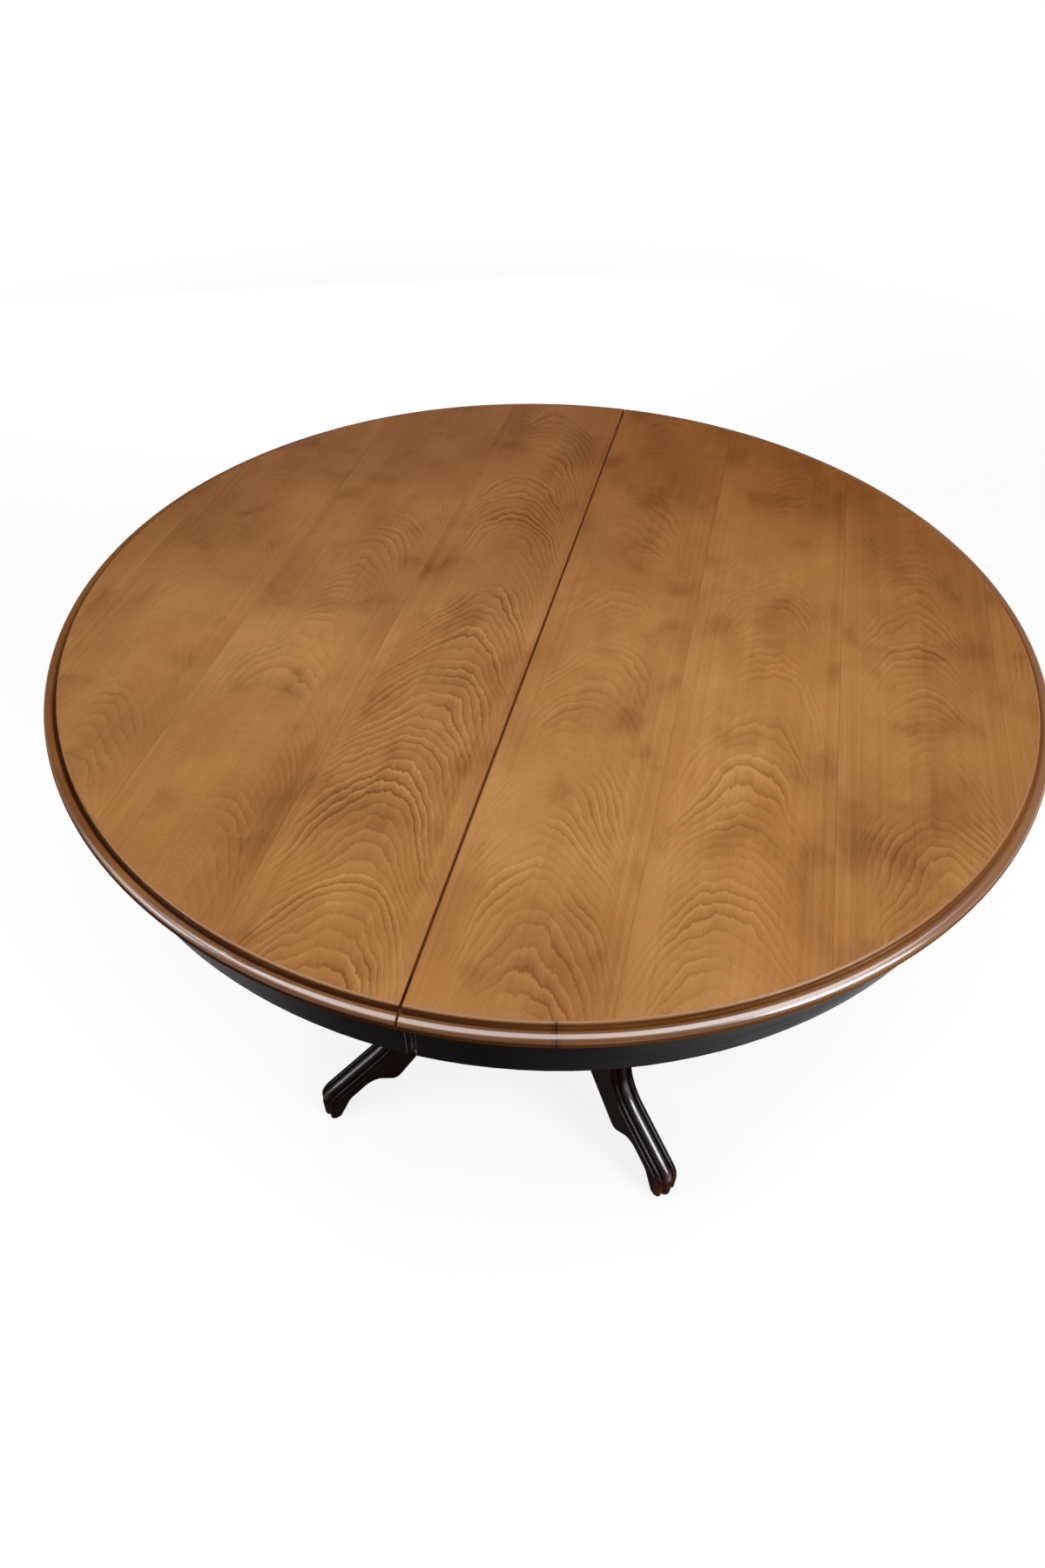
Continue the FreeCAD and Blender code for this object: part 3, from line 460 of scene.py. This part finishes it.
# %% Surface of the veneer
SEAM_STAIN_AND_SHADE = srgb(96, 48, 24)
SAWN_EDGE = (0.00105, 0.0013)
PORE_BROWN = srgb(70, 38, 16)
PORE_DEPTH = 0.00004


def seam_stain_and_shade(finish, colour, edge):
    """Stain what lies as close to the seam as the sawn end of a piece; on the dowels it is painted shade.
    """
    return finish.mix(abs(finish.x).fall(*edge), colour, SEAM_STAIN_AND_SHADE)


def on_both_halves(*parts):
    return [side + part for side in ("right_", "left_") for part in parts]


pore = veneer.noise(x / 0.0007, y / 0.014, seed, detail=1.0).rise(0.6, 0.74)
joint = abs(across).rise(0.4955, 0.4985)
colour = veneer.mix(0.16 * pore + 0.2 * joint, colour, PORE_BROWN)
veneer.surface(
    Base_Color=seam_stain_and_shade(veneer, colour, SAWN_EDGE),
    Roughness=0.36 + 0.12 * pore + 0.1 * wide_cloud,
    Specular_IOR_Level=0.1,
    Normal=veneer.bump(0.4 * streak - pore, PORE_DEPTH, 0.6),
)
veneer.dress(*on_both_halves("face_veneer"))

# %% [markdown]
# ## The moulded rim
# The rim is solid wood, bent round the top in segments, so its grain follows the curve. It is stained like
# the veneer. The quirk, the groove above the bead, is darkened by a wiped-on glaze together with painted
# shade, and the dark under the bead is painted shade. Straight grain would be simpler, but it would run
# across the rim at its sides. So the distance round the rim and the distance from the quirk are worked out
# for each point, and the noise is laid along them.

# %% Places on the rim
RIM_RADIUS = 0.487
QUIRK_RADIUS, QUIRK_HEIGHT = 0.4891, 0.7457

rim = Finish("rim_wood")
half = rim.x.sign()
reach = rim.from_axis()
around = (rim.y * half).angle(abs(rim.x)) * RIM_RADIUS
from_quirk = ((reach - QUIRK_RADIUS) ** 2.0 + (rim.z - QUIRK_HEIGHT) ** 2.0) ** 0.5
seed = 4.0 * half
long_grain = rim.noise(around / 0.09, reach / 0.0035 + seed, rim.z / 0.0035, detail=3.0, roughness=0.6)
patch = rim.waver(around / 0.12, seed, rim.z / 0.05)
rim.report("places and grain")

# %% Glaze, painted shade and joints of the rim
BEAD_UNDERSIDE, BEAD_INSIDE = (0.7424, 0.7456), (0.4885, 0.4895)
CLOSER_END = math.radians(-76.8) * RIM_RADIUS
MIDDLE_JOINT = math.radians(6.6) * RIM_RADIUS
LIT_RIGHT, LIT_REAR = (-0.05, 0.3), (-0.35, -0.1)

ragged = 0.0014 * (long_grain - 0.5)
# Dark glaze and painted shade in the quirk, and painted shade under the bead.
quirk_glaze_and_shade = (from_quirk + ragged).fall(0.0012, 0.0030)
shade_under_bead = (rim.z + ragged).fall(*BEAD_UNDERSIDE) * reach.rise(*BEAD_INSIDE)
glaze_and_shade = quirk_glaze_and_shade.or_more(shade_under_bead)
# Painted light: the glaze and painted shade are lightened on the right and at the rear.
lit_right_and_rear = rim.x.rise(*LIT_RIGHT).or_more(rim.y.rise(*LIT_REAR))
closer = around.fall(CLOSER_END - 0.0001, CLOSER_END + 0.0001)
from_joint = abs(abs(around - MIDDLE_JOINT) - (MIDDLE_JOINT - CLOSER_END))
joint = from_joint.fall(0.0002, 0.0008)
near_joint = from_joint.fall(0.0, 0.006)
rim.report("glaze and joints")

# %% [markdown]
# The short closing segment beside the seam is a little darker than the long ones. The upper arris carries a
# painted pale highlight, and the right end is painted lighter and redder. On the right and at the rear the
# glaze and the painted shade are lightened, which is painted light. One even coat of lacquer would shine
# all round, but it is duller at the front and on the left, so the polish depends on the place.

# %% Colour of the rim
# Painted light: the right end of the rim is painted lighter and redder.
RIGHT_END, LIT_RIGHT_BROWN = (0.2, 0.45), srgb(160, 106, 62)
# Painted highlight: the upper arris is painted pale.
ARRIS, ARRIS_HIGHLIGHT_PALE = (0.7482, 0.7496), srgb(166, 122, 86)
GLAZE_AND_SHADE_BROWN = srgb(50, 23, 9)
JOINT_BROWN = srgb(30, 14, 8)

tone = 0.5 + 0.6 * (long_grain - 0.5) + 0.6 * patch - 0.08 * closer
colour = rim.ramp(tone, (0.0, srgb(60, 30, 9)), (0.5, srgb(112, 69, 28)), (1.0, srgb(156, 104, 52)))
colour = rim.mix(0.4 * rim.x.rise(*RIGHT_END), colour, LIT_RIGHT_BROWN)
colour = rim.mix(glaze_and_shade * (0.97 - 0.7 * lit_right_and_rear), colour, GLAZE_AND_SHADE_BROWN)
colour = rim.mix(0.5 * rim.z.rise(*ARRIS), colour, ARRIS_HIGHLIGHT_PALE)
colour = rim.mix(0.3 * near_joint + 0.6 * joint, colour, JOINT_BROWN)
rim.report("colour")

# %% Surface of the rim
FRONT_STARTS, FRONT_ENDS = (-0.14, 0.0), (0.12, 0.24)
LEFT_ENDS = (-0.3, -0.14)
FLAT = (0.7474, 0.7482)

dull_front = rim.x.rise(*FRONT_STARTS) * rim.x.fall(*FRONT_ENDS)
polish = (1.0 - 0.28 * dull_front) * (0.3 + 0.7 * rim.x.rise(*LEFT_ENDS))
rim.surface(
    Base_Color=seam_stain_and_shade(rim, colour, SAWN_EDGE),
    Roughness=0.3 + 0.14 * long_grain + 0.4 * glaze_and_shade,
    Specular_IOR_Level=0.0,
    Coat_Weight=(1.0 - glaze_and_shade) * (1.0 - 0.8 * rim.z.rise(*FLAT)) * polish,
    Coat_IOR=2.8,
    Coat_Roughness=0.22,
)
rim.dress(*on_both_halves("rim_closer", "rim_long_a", "rim_long_b"))

# %% [markdown]
# ## The dark lacquer
# The apron, the column and the feet are stained nearly black under lacquer. Plain black would do from far
# off, but near by the wood shows through as a dark red-brown, and its pores ripple the gloss. One function
# gives that ground to all three, and each then gets its own polish and wear.


# %% Ground of the dark lacquer
def dark_lacquer(name, specular, grain_depth):
    """A near-black finish, with its grain and its colour for the wear that comes on top."""
    lacquer = Finish(name)
    x, y, z = lacquer.x, lacquer.y, lacquer.z
    grain = lacquer.noise(x / 0.012, y / 0.012, z / 0.004, detail=4.0, roughness=0.6)
    cloud = lacquer.noise(x / 0.09, y / 0.09, z / 0.09)
    darkness = 0.5 * grain + 0.5 * cloud
    colour = lacquer.ramp(darkness, (0.3, srgb(9, 6, 5)), (0.6, srgb(22, 12, 8)), (0.8, srgb(50, 23, 12)))
    lacquer.surface(
        Roughness=0.22 + 0.14 * grain,
        Specular_IOR_Level=specular,
        Normal=lacquer.bump(grain, grain_depth, 0.4),
    )
    return lacquer, grain, colour


# %% [markdown]
# The apron is bent from a thin board, so the streaks of its gloss run round it. Noise in x alone would
# squeeze them together at the sides, so it is laid along the distance round the apron. The ends meet in a
# V groove at the seam, where the four sharp edges are rubbed to bare grey wood, and the grey also stands in
# for a painted highlight on them. The gloss is soft, and strongest towards the right.

# %% Apron
APRON_RADIUS = 0.45
GLOSSY_RIGHT, GLOSSY_LEFT = (0.05, 0.4), (-0.2, -0.03)
GROOVE_FLANK = 0.0025
BLUE_BLACK = srgb(15, 16, 19)
BARE_AND_HIGHLIGHT_GREY = srgb(120, 104, 92)

apron, grain, colour = dark_lacquer("apron_lacquer", specular=0.003, grain_depth=0.00003)
around = apron.y.angle(apron.x) * APRON_RADIUS
streak = apron.noise(around / 0.11, apron.z / 0.012, 7.0, detail=3.0, roughness=0.6).rise(0.1, 0.75)
polish = apron.x.rise(*GLOSSY_RIGHT) + 0.5 * apron.x.fall(*GLOSSY_LEFT)
# Pale grey on the edges of the groove: rubbed wood and a painted highlight.
from_flank = abs(abs(apron.x) - GROOVE_FLANK)
rubbed = from_flank.rise(0.0011, 0.0014) * from_flank.fall(0.0016, 0.002)
colour = apron.mix(0.5, colour, BLUE_BLACK)
apron.surface(
    Base_Color=apron.mix(0.6 * rubbed * grain.rise(0.35, 0.6), colour, BARE_AND_HIGHLIGHT_GREY),
    Coat_Weight=(0.4 + 0.5 * streak) * polish,
    Coat_IOR=1.3,
    Coat_Roughness=0.25,
)
apron.dress(*on_both_halves("apron"))

# %% [markdown]
# The column and its drop are turned on a lathe and polished there, so they are the glossiest. Hands and
# shoes hardly reach them, so an even clear coat with no wear is enough. The head board above is lacquered
# together with them.

# %% Column
column, grain, colour = dark_lacquer("column_lacquer", specular=0.08, grain_depth=0.00003)
column.surface(Base_Color=colour, Coat_Weight=0.45, Coat_Roughness=0.12)
column.dress("column", "column_drop", "head_board")

# %% [markdown]
# The feet have a reeded crest that shines as a few bright lines, while their flat sides stay dark. An even
# gloss would turn the sides grey, because they reflect the pale floor. So the clear coat follows the crest:
# where the surface faces up, close to the foot's middle and not sideways. Shoes have worn the toes brown,
# and on the right the brown is painted stronger as a highlight.

# %% Crest of the feet
DIAGONAL = math.sqrt(0.5)
CREST_SIDE = (0.008, 0.0105)

foot, grain, colour = dark_lacquer("foot_lacquer", specular=0.0015, grain_depth=0.00002)
east, north, up = foot.split(foot.node("ShaderNodeNewGeometry", out="Normal"))
sideways = abs(east * foot.y.sign() - north * foot.x.sign()) * DIAGONAL
beside = abs(abs(foot.x) - abs(foot.y)) * DIAGONAL
on_crest = up.rise(0.2, 0.6) * (1.0 - 0.85 * beside.rise(*CREST_SIDE))
on_crest = on_crest * (1.0 - 0.85 * sideways.rise(0.2, 0.55))
foot.report("crest")

# %% Surface of the feet
AXIS = (-0.05, 0.05)
LOWER_LEG, TOE_BEND, TOE = (0.235, 0.275), (0.322, 0.34), (0.336, 0.342)
HIGHLIGHT_SIDE, WEAR_AND_HIGHLIGHT_BROWN = (-0.1, 0.1), srgb(78, 38, 18)

reach = foot.from_axis()
rubbed_up = foot.x.rise(*AXIS).or_more(foot.y.rise(*AXIS))
polish = (0.35 + 0.65 * rubbed_up) * (0.4 + 0.6 * reach.rise(*LOWER_LEG))
polish = polish * (1.0 - 0.6 * reach.rise(*TOE_BEND))
# Worn brown on the toes, painted stronger on the right as a highlight.
worn = reach.rise(*TOE) * grain.rise(0.35, 0.6)
foot.surface(
    Base_Color=foot.mix((0.1 + 0.7 * foot.x.rise(*HIGHLIGHT_SIDE)) * worn, colour, WEAR_AND_HIGHLIGHT_BROWN),
    Coat_Weight=on_crest * polish,
    Coat_IOR=4.2,
    Coat_Roughness=0.3,
)
foot.dress("foot_front_right", "foot_rear_right", "foot_rear_left", "foot_front_left")

# %% [markdown]
# ## Beech
# Beech makes the rails, runners, glue blocks and dowels under the top. It is pale pink-brown, with short
# dark flecks along the grain. The rails and runners lie along x, so noise that is stretched along x serves
# them all. The dowels are only 10 mm thick, so their grain is finer, and at the seam their middle is
# painted dark as painted shade of the gap.

# %% Beech
FLECK_BROWN = srgb(140, 92, 58)

beech = Finish("beech")
flow = beech.noise(beech.x / 0.12, beech.y / 0.006, beech.z / 0.006, detail=3.0, roughness=0.55)
fleck = beech.noise(beech.x / 0.008, beech.y / 0.0009, beech.z / 0.0009, detail=1.0).rise(0.62, 0.7)
colour = beech.ramp(
    flow,
    (0.25, srgb(176, 132, 92)),
    (0.55, srgb(205, 164, 122)),
    (0.8, srgb(222, 188, 150)),
)
beech.surface(
    Base_Color=beech.mix(0.45 * fleck, colour, FLECK_BROWN),
    Roughness=0.5 + 0.15 * flow,
    Normal=beech.bump(flow - fleck, 0.00006, 0.5),
)
beech.dress("front_rail", "rear_rail", *on_both_halves("glue_blocks", "inner_runner", "outer_runner"))

# %% Dowels
DOWEL_SHADE_SPAN = (0.0012, 0.0016)

dowel = Finish("dowel_beech")
flow = dowel.noise(dowel.x / 0.05, dowel.y / 0.002, dowel.z / 0.002, detail=3.0, roughness=0.55)
colour = dowel.ramp(flow, (0.25, srgb(150, 104, 66)), (0.7, srgb(190, 146, 104)))
# Painted shade: where the dowels cross the seam, their middle is painted dark.
dowel.surface(
    Base_Color=seam_stain_and_shade(dowel, colour, DOWEL_SHADE_SPAN),
    Roughness=0.5 + 0.2 * flow,
    Normal=dowel.bump(flow, 0.00006, 0.5),
)
dowel.dress(*on_both_halves("seam_dowels"))

# %% [markdown]
# ## The core board
# The core of the top is a pressed board of fine fibres, with no grain at all. A flat colour would look
# like plastic, so two sizes of noise are mixed: fibres that lie flat, and clouds some 50 mm wide.

# %% Core board
board = Finish("core_board")
fibre = board.noise(board.x / 0.0015, board.y / 0.0015, board.z / 0.0008, detail=4.0, roughness=0.7)
cloud = board.noise(board.x / 0.05, board.y / 0.05, board.z / 0.05)
tone = 0.6 * fibre + 0.4 * cloud
colour = board.ramp(tone, (0.3, srgb(132, 100, 66)), (0.5, srgb(160, 126, 86)), (0.7, srgb(186, 152, 110)))
board.surface(
    Base_Color=seam_stain_and_shade(board, colour, SAWN_EDGE),
    Roughness=0.75 + 0.15 * fibre,
    Normal=board.bump(fibre, 0.0001, 0.5),
)
board.dress(*on_both_halves("top_core"))

# %% [markdown]
# ## Nylon
# The racks and the pinion are moulded in milky nylon, which is cloudy inside and slightly rough where it
# left the mould. Light that wanders inside the plastic would be truer, but under the top nobody sees it
# at a thin edge, so two noises do: a wide one for the milk and a fine one for the grit.

# %% Nylon
nylon = Finish("nylon")
flow = nylon.noise(nylon.x / 0.02, nylon.y / 0.02, nylon.z / 0.02)
grit = nylon.noise(nylon.x / 0.0006, nylon.y / 0.0006, nylon.z / 0.0006)
nylon.surface(
    Base_Color=nylon.ramp(flow, (0.3, srgb(206, 202, 190)), (0.7, srgb(226, 223, 214))),
    Roughness=0.42 + 0.12 * grit,
    Normal=nylon.bump(grit, 0.00003, 0.5),
)
nylon.dress("equalizer_pinion", *on_both_halves("rack"))

# %% [markdown]
# ## Zinc-plated steel
# The screws, bolts and latches are steel with a thin coat of zinc. Bare metal would be an even mirror.
# Plating is cloudy in small spangles and finely scratched by the tools that turn it, so both make it
# rougher here and there.

# %% Steel
steel = Finish("zinc_steel")
spangle = steel.noise(steel.x / 0.004, steel.y / 0.004, steel.z / 0.004, detail=3.0)
scratch = steel.noise(steel.x / 0.0004, steel.y / 0.006, steel.z / 0.006)
steel.surface(
    Base_Color=steel.ramp(spangle, (0.3, srgb(176, 177, 176)), (0.7, srgb(214, 215, 212))),
    Metallic=1.0,
    Roughness=0.26 + 0.14 * spangle + 0.1 * scratch,
    Normal=steel.bump(scratch, 0.00002, 0.4),
)
steel.dress("head_bolts", "rail_screws", "pinion_axle", "foot_bolts", "foot_washers", "foot_nuts")
steel.dress(*on_both_halves("slide_screws", "latch_base", "latch_keeper", "latch_lever", "latch_screws"))

# %% [markdown]
# ## The glides
# A dark plastic disc under each toe keeps the lacquer off the floor. Only its edge shows, so one fine
# noise for the skin of the mould is enough.

# %% Glides
glide = Finish("glide_plastic")
grit = glide.noise(glide.x / 0.0008, glide.y / 0.0008, glide.z / 0.0008)
glide.surface(
    Base_Color=glide.ramp(grit, (0.3, srgb(34, 28, 25)), (0.7, srgb(52, 44, 40))),
    Roughness=0.5 + 0.2 * grit,
    Normal=glide.bump(grit, 0.00004, 0.5),
)
glide.dress("foot_glides")

# %% [markdown]
# ## Tools for new pieces
# The last pieces are modelled as by hand. They could be typed in as lists of corners, but the steps of a
# maker are easier to follow: take a simple body, select one end, push it out, draw it in, cut holes. An
# operator acts on all that is selected, so each helper first selects just what it needs.


# %% Selecting and pushing
def only(*pieces):
    """Leave just these pieces selected, the first of them active."""
    bpy.ops.object.select_all(action="DESELECT")
    for piece in pieces:
        piece.select_set(True)
    bpy.context.view_layer.objects.active = pieces[0]


def edit(piece):
    only(piece)
    bpy.ops.object.mode_set(mode="EDIT")
    bpy.ops.mesh.select_mode(type="FACE")


def done():
    bpy.ops.object.mode_set(mode="OBJECT")


def select_end(piece, direction):
    """Select the flat face that lies furthest along a direction."""
    direction = Vector(direction)
    bpy.ops.mesh.select_all(action="DESELECT")
    cage = bmesh.from_edit_mesh(piece.data)
    ends = [face for face in cage.faces if face.normal.dot(direction) > 0.99]
    max(ends, key=lambda face: face.calc_center_median().dot(direction)).select_set(True)
    bmesh.update_edit_mesh(piece.data)


def push(x, y, z):
    bpy.ops.mesh.extrude_region_move(TRANSFORM_OT_translate={"value": (x, y, z)})


# %% Cutting, turning and settling
def cut_away(piece, tool):
    cut = piece.modifiers.new("cut", "BOOLEAN")
    cut.object = tool
    cut.operation = "DIFFERENCE"
    cut.solver = "EXACT"
    only(piece)
    bpy.ops.object.modifier_apply(modifier=cut.name)
    bpy.data.objects.remove(tool)


def at_origin(piece, name):
    """Put the place of a piece into its mesh, and smooth what is round."""
    only(piece)
    bpy.ops.object.transform_apply(location=True, rotation=True, scale=True)
    bpy.ops.object.shade_smooth_by_angle(angle=math.radians(35))
    piece.name = piece.data.name = name


def turned_copy(piece, name):
    """The same piece for the left half: a copy turned half round the axis of the table."""
    only(piece)
    bpy.ops.object.duplicate()
    copy = bpy.context.object
    bpy.ops.transform.rotate(value=math.pi, orient_axis="Z", center_override=(0, 0, 0))
    at_origin(copy, name)
    return copy


def settle(piece, finish, slot, body, *replaced):
    finish.cover(piece)
    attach(piece, body)
    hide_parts(*replaced)
    print(piece.name, "has", len(piece.data.polygons), "faces and rides on", body)


# %% [markdown]
# ## The edge bands of the seam
# The sawn edge of each half top is closed by a thin stained band, bored for the dowels. When the table is
# shut, the two bands all but meet under the veneer, so the seam is a shallow dark groove. A strip on one
# half alone would hide the floor as well, but it would be left standing out when the table opens. A thin
# box covers the edge of the core, and its ends are drawn in and pushed out over the ends of the rim.

# %% Box of the band
BAND_FACE = 0.00001
BAND_SINK = 0.0002
BEAD_MIDDLE = 0.7405
BEAD_END = 0.4970
BEAD_SHARE = 0.55
END_STEP = 0.002

low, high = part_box("right_top_core")
size = Vector((low.x - BAND_FACE, high.y - low.y, high.z - low.z - BAND_SINK))
corner = Vector((BAND_FACE, low.y, low.z))
band = start(bpy.ops.mesh.primitive_cube_add, size=1, location=corner + size / 2, scale=size)
at_origin(band, "right_seam_band")
edit(band)
for way in (-1, 1):
    select_end(band, (0, way, 0))
    push(0, way * END_STEP, 0)
    bpy.ops.transform.resize(value=(1, 1, BEAD_SHARE), center_override=(0, 0, BEAD_MIDDLE))
    push(0, way * (BEAD_END - high.y - END_STEP), 0)
done()
print("band of", [round(1000 * v, 2) for v in size], "mm, with its ends", BEAD_END, "m out")

# %% Holes for the dowels
DOWELS = (0.06, 0.21, 0.36)
DOWEL_HOLE = 0.0054
DRILL_LENGTH = 0.01
ROUND = 32

for place in DOWELS + tuple(-place for place in DOWELS):
    drill = start(
        bpy.ops.mesh.primitive_cylinder_add, vertices=ROUND, radius=DOWEL_HOLE, depth=DRILL_LENGTH,
        rotation=(0, math.pi / 2, 0), location=(0, place, (low.z + high.z) / 2),
    )
    cut_away(band, drill)
print("bored", 2 * len(DOWELS), "holes")

# %% Stain of the bands
stain = Finish("seam_band")
flow = stain.noise(stain.x / 0.001, stain.y / 0.04, stain.z / 0.0012, detail=3.0, roughness=0.6)
stain.surface(
    Base_Color=stain.ramp(flow, (0.3, srgb(60, 26, 9)), (0.7, srgb(104, 52, 22))),
    Roughness=0.6 + 0.2 * flow,
    Specular_IOR_Level=0.15,
    Normal=stain.bump(flow, 0.00004, 0.5),
)
left_band = turned_copy(band, "left_seam_band")
settle(band, stain, "rim_wood", "right_half")
settle(left_band, stain, "rim_wood", "left_half")

# %% [markdown]
# ## Cross-head screws
# Each latch plate is held by four small countersunk screws, and the rails by six larger ones with round
# heads. The solids give them plain heads, because a cross only a few millimetres wide matters to the eye
# and not to the fit. A painted cross would look flat from close by, so each kind of screw is modelled
# again, with its cross cut by two tapered bars. Copies then go to all the places, each turned a little
# further, as screws end up.

# %% Crosses, shanks and copies
BAR_TAPER = 0.4
POINT_LENGTH, POINT_SHARE = 0.003, 0.1
COPY_TURN = 1.9


def cut_cross(piece, place, width, thickness, depth):
    """Cut a cross into the face of a head with two bars that narrow as they go in."""
    for turn in (0, math.pi / 2):
        bar = start(
            bpy.ops.mesh.primitive_cube_add, size=1, location=place, rotation=(0, 0, turn),
            scale=(width, thickness, 2 * depth),
        )
        edit(bar)
        select_end(bar, (0, 0, 1))
        bpy.ops.transform.resize(value=(BAR_TAPER, BAR_TAPER, 1), center_override=place)
        done()
        cut_away(piece, bar)


def shank_and_point(length, place):
    """Push the selected end up to a shank, and draw its last stretch in to a point."""
    push(0, 0, length - POINT_LENGTH)
    push(0, 0, POINT_LENGTH)
    bpy.ops.transform.resize(value=(POINT_SHARE, POINT_SHARE, 1), center_override=place)


def copy_to(piece, places):
    """Copy a screw from the first place to the others, and join the copies to one piece."""
    screws = [piece]
    for number, place in enumerate(places[1:], 1):
        only(piece)
        bpy.ops.object.duplicate()
        bpy.ops.transform.rotate(value=COPY_TURN * number, orient_axis="Z", center_override=places[0])
        bpy.ops.transform.translate(value=place - places[0])
        screws.append(bpy.context.object)
    only(*screws)
    bpy.ops.object.join()


# %% [markdown]
# ## Countersunk screws
# These screws hold the bases and keepers of the latches. Their heads lie just inside the face of the plate,
# so that a hand slides over them. A profile could be spun for them, but a cone is already the head: its
# narrow end is pushed up to make the shank and the point.

# %% Countersunk screws of the latch plates
PLATE_HEAD, PLATE_SHANK = 0.0035, 0.00175
PLATE_CONE = PLATE_HEAD - PLATE_SHANK
PLATE_PITCH = 0.021
PLATE_CROSS = {"width": 0.0038, "thickness": 0.0009, "depth": 0.0012}

low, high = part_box("right_latch_screws")
first, last = low.y + PLATE_HEAD, high.y - PLATE_HEAD
rows = (first, first + PLATE_PITCH, last - PLATE_PITCH, last)
places = [Vector((x, y, low.z)) for x in (low.x + PLATE_HEAD, high.x - PLATE_HEAD) for y in rows]
plate_screw = start(
    bpy.ops.mesh.primitive_cone_add, vertices=ROUND, radius1=PLATE_HEAD, radius2=PLATE_SHANK,
    depth=PLATE_CONE, location=places[0] + Vector((0, 0, PLATE_CONE / 2)),
)
edit(plate_screw)
select_end(plate_screw, (0, 0, 1))
shank_and_point(high.z - low.z - PLATE_CONE, places[0])
done()
cut_cross(plate_screw, places[0], **PLATE_CROSS)
copy_to(plate_screw, places)
at_origin(plate_screw, "right_plate_screws")
left_plate_screw = turned_copy(plate_screw, "left_plate_screws")
settle(plate_screw, steel, "zinc_steel", "right_half", "right_latch_screws")
settle(left_plate_screw, steel, "zinc_steel", "left_half", "left_latch_screws")

# %% [markdown]
# ## Round-head screws
# Six larger screws come up through the head board into the two rails. A ball cut in half could be the
# head, but a real one has a short straight side. So it is a short cylinder: a bevel rounds its lower edge,
# an inset marks the shank on its upper face, and that is pushed up like the other.

# %% Round-head screws of the rails
RAIL_HEAD, RAIL_HEAD_HEIGHT, RAIL_SHANK = 0.005, 0.004, 0.0025
RAIL_ROUNDING = 0.0018
RAIL_CROSS = {"width": 0.0056, "thickness": 0.0012, "depth": 0.002}

low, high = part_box("rail_screws")
columns = (low.x + RAIL_HEAD, 0.0, high.x - RAIL_HEAD)
places = [Vector((x, y, low.z)) for x in columns for y in (low.y + RAIL_HEAD, high.y - RAIL_HEAD)]
rail_screw = start(
    bpy.ops.mesh.primitive_cylinder_add, vertices=ROUND, radius=RAIL_HEAD, depth=RAIL_HEAD_HEIGHT,
    location=places[0] + Vector((0, 0, RAIL_HEAD_HEIGHT / 2)),
)
edit(rail_screw)
select_end(rail_screw, (0, 0, -1))
bpy.ops.mesh.bevel(offset=RAIL_ROUNDING, segments=6, profile=0.5, affect="EDGES")
select_end(rail_screw, (0, 0, 1))
bpy.ops.mesh.inset(thickness=RAIL_HEAD - RAIL_SHANK)
shank_and_point(high.z - low.z - RAIL_HEAD_HEIGHT, places[0])
done()
cut_cross(rail_screw, places[0], **RAIL_CROSS)
copy_to(rail_screw, places)
at_origin(rail_screw, "board_screws")
settle(rail_screw, steel, "zinc_steel", "pedestal", "rail_screws")
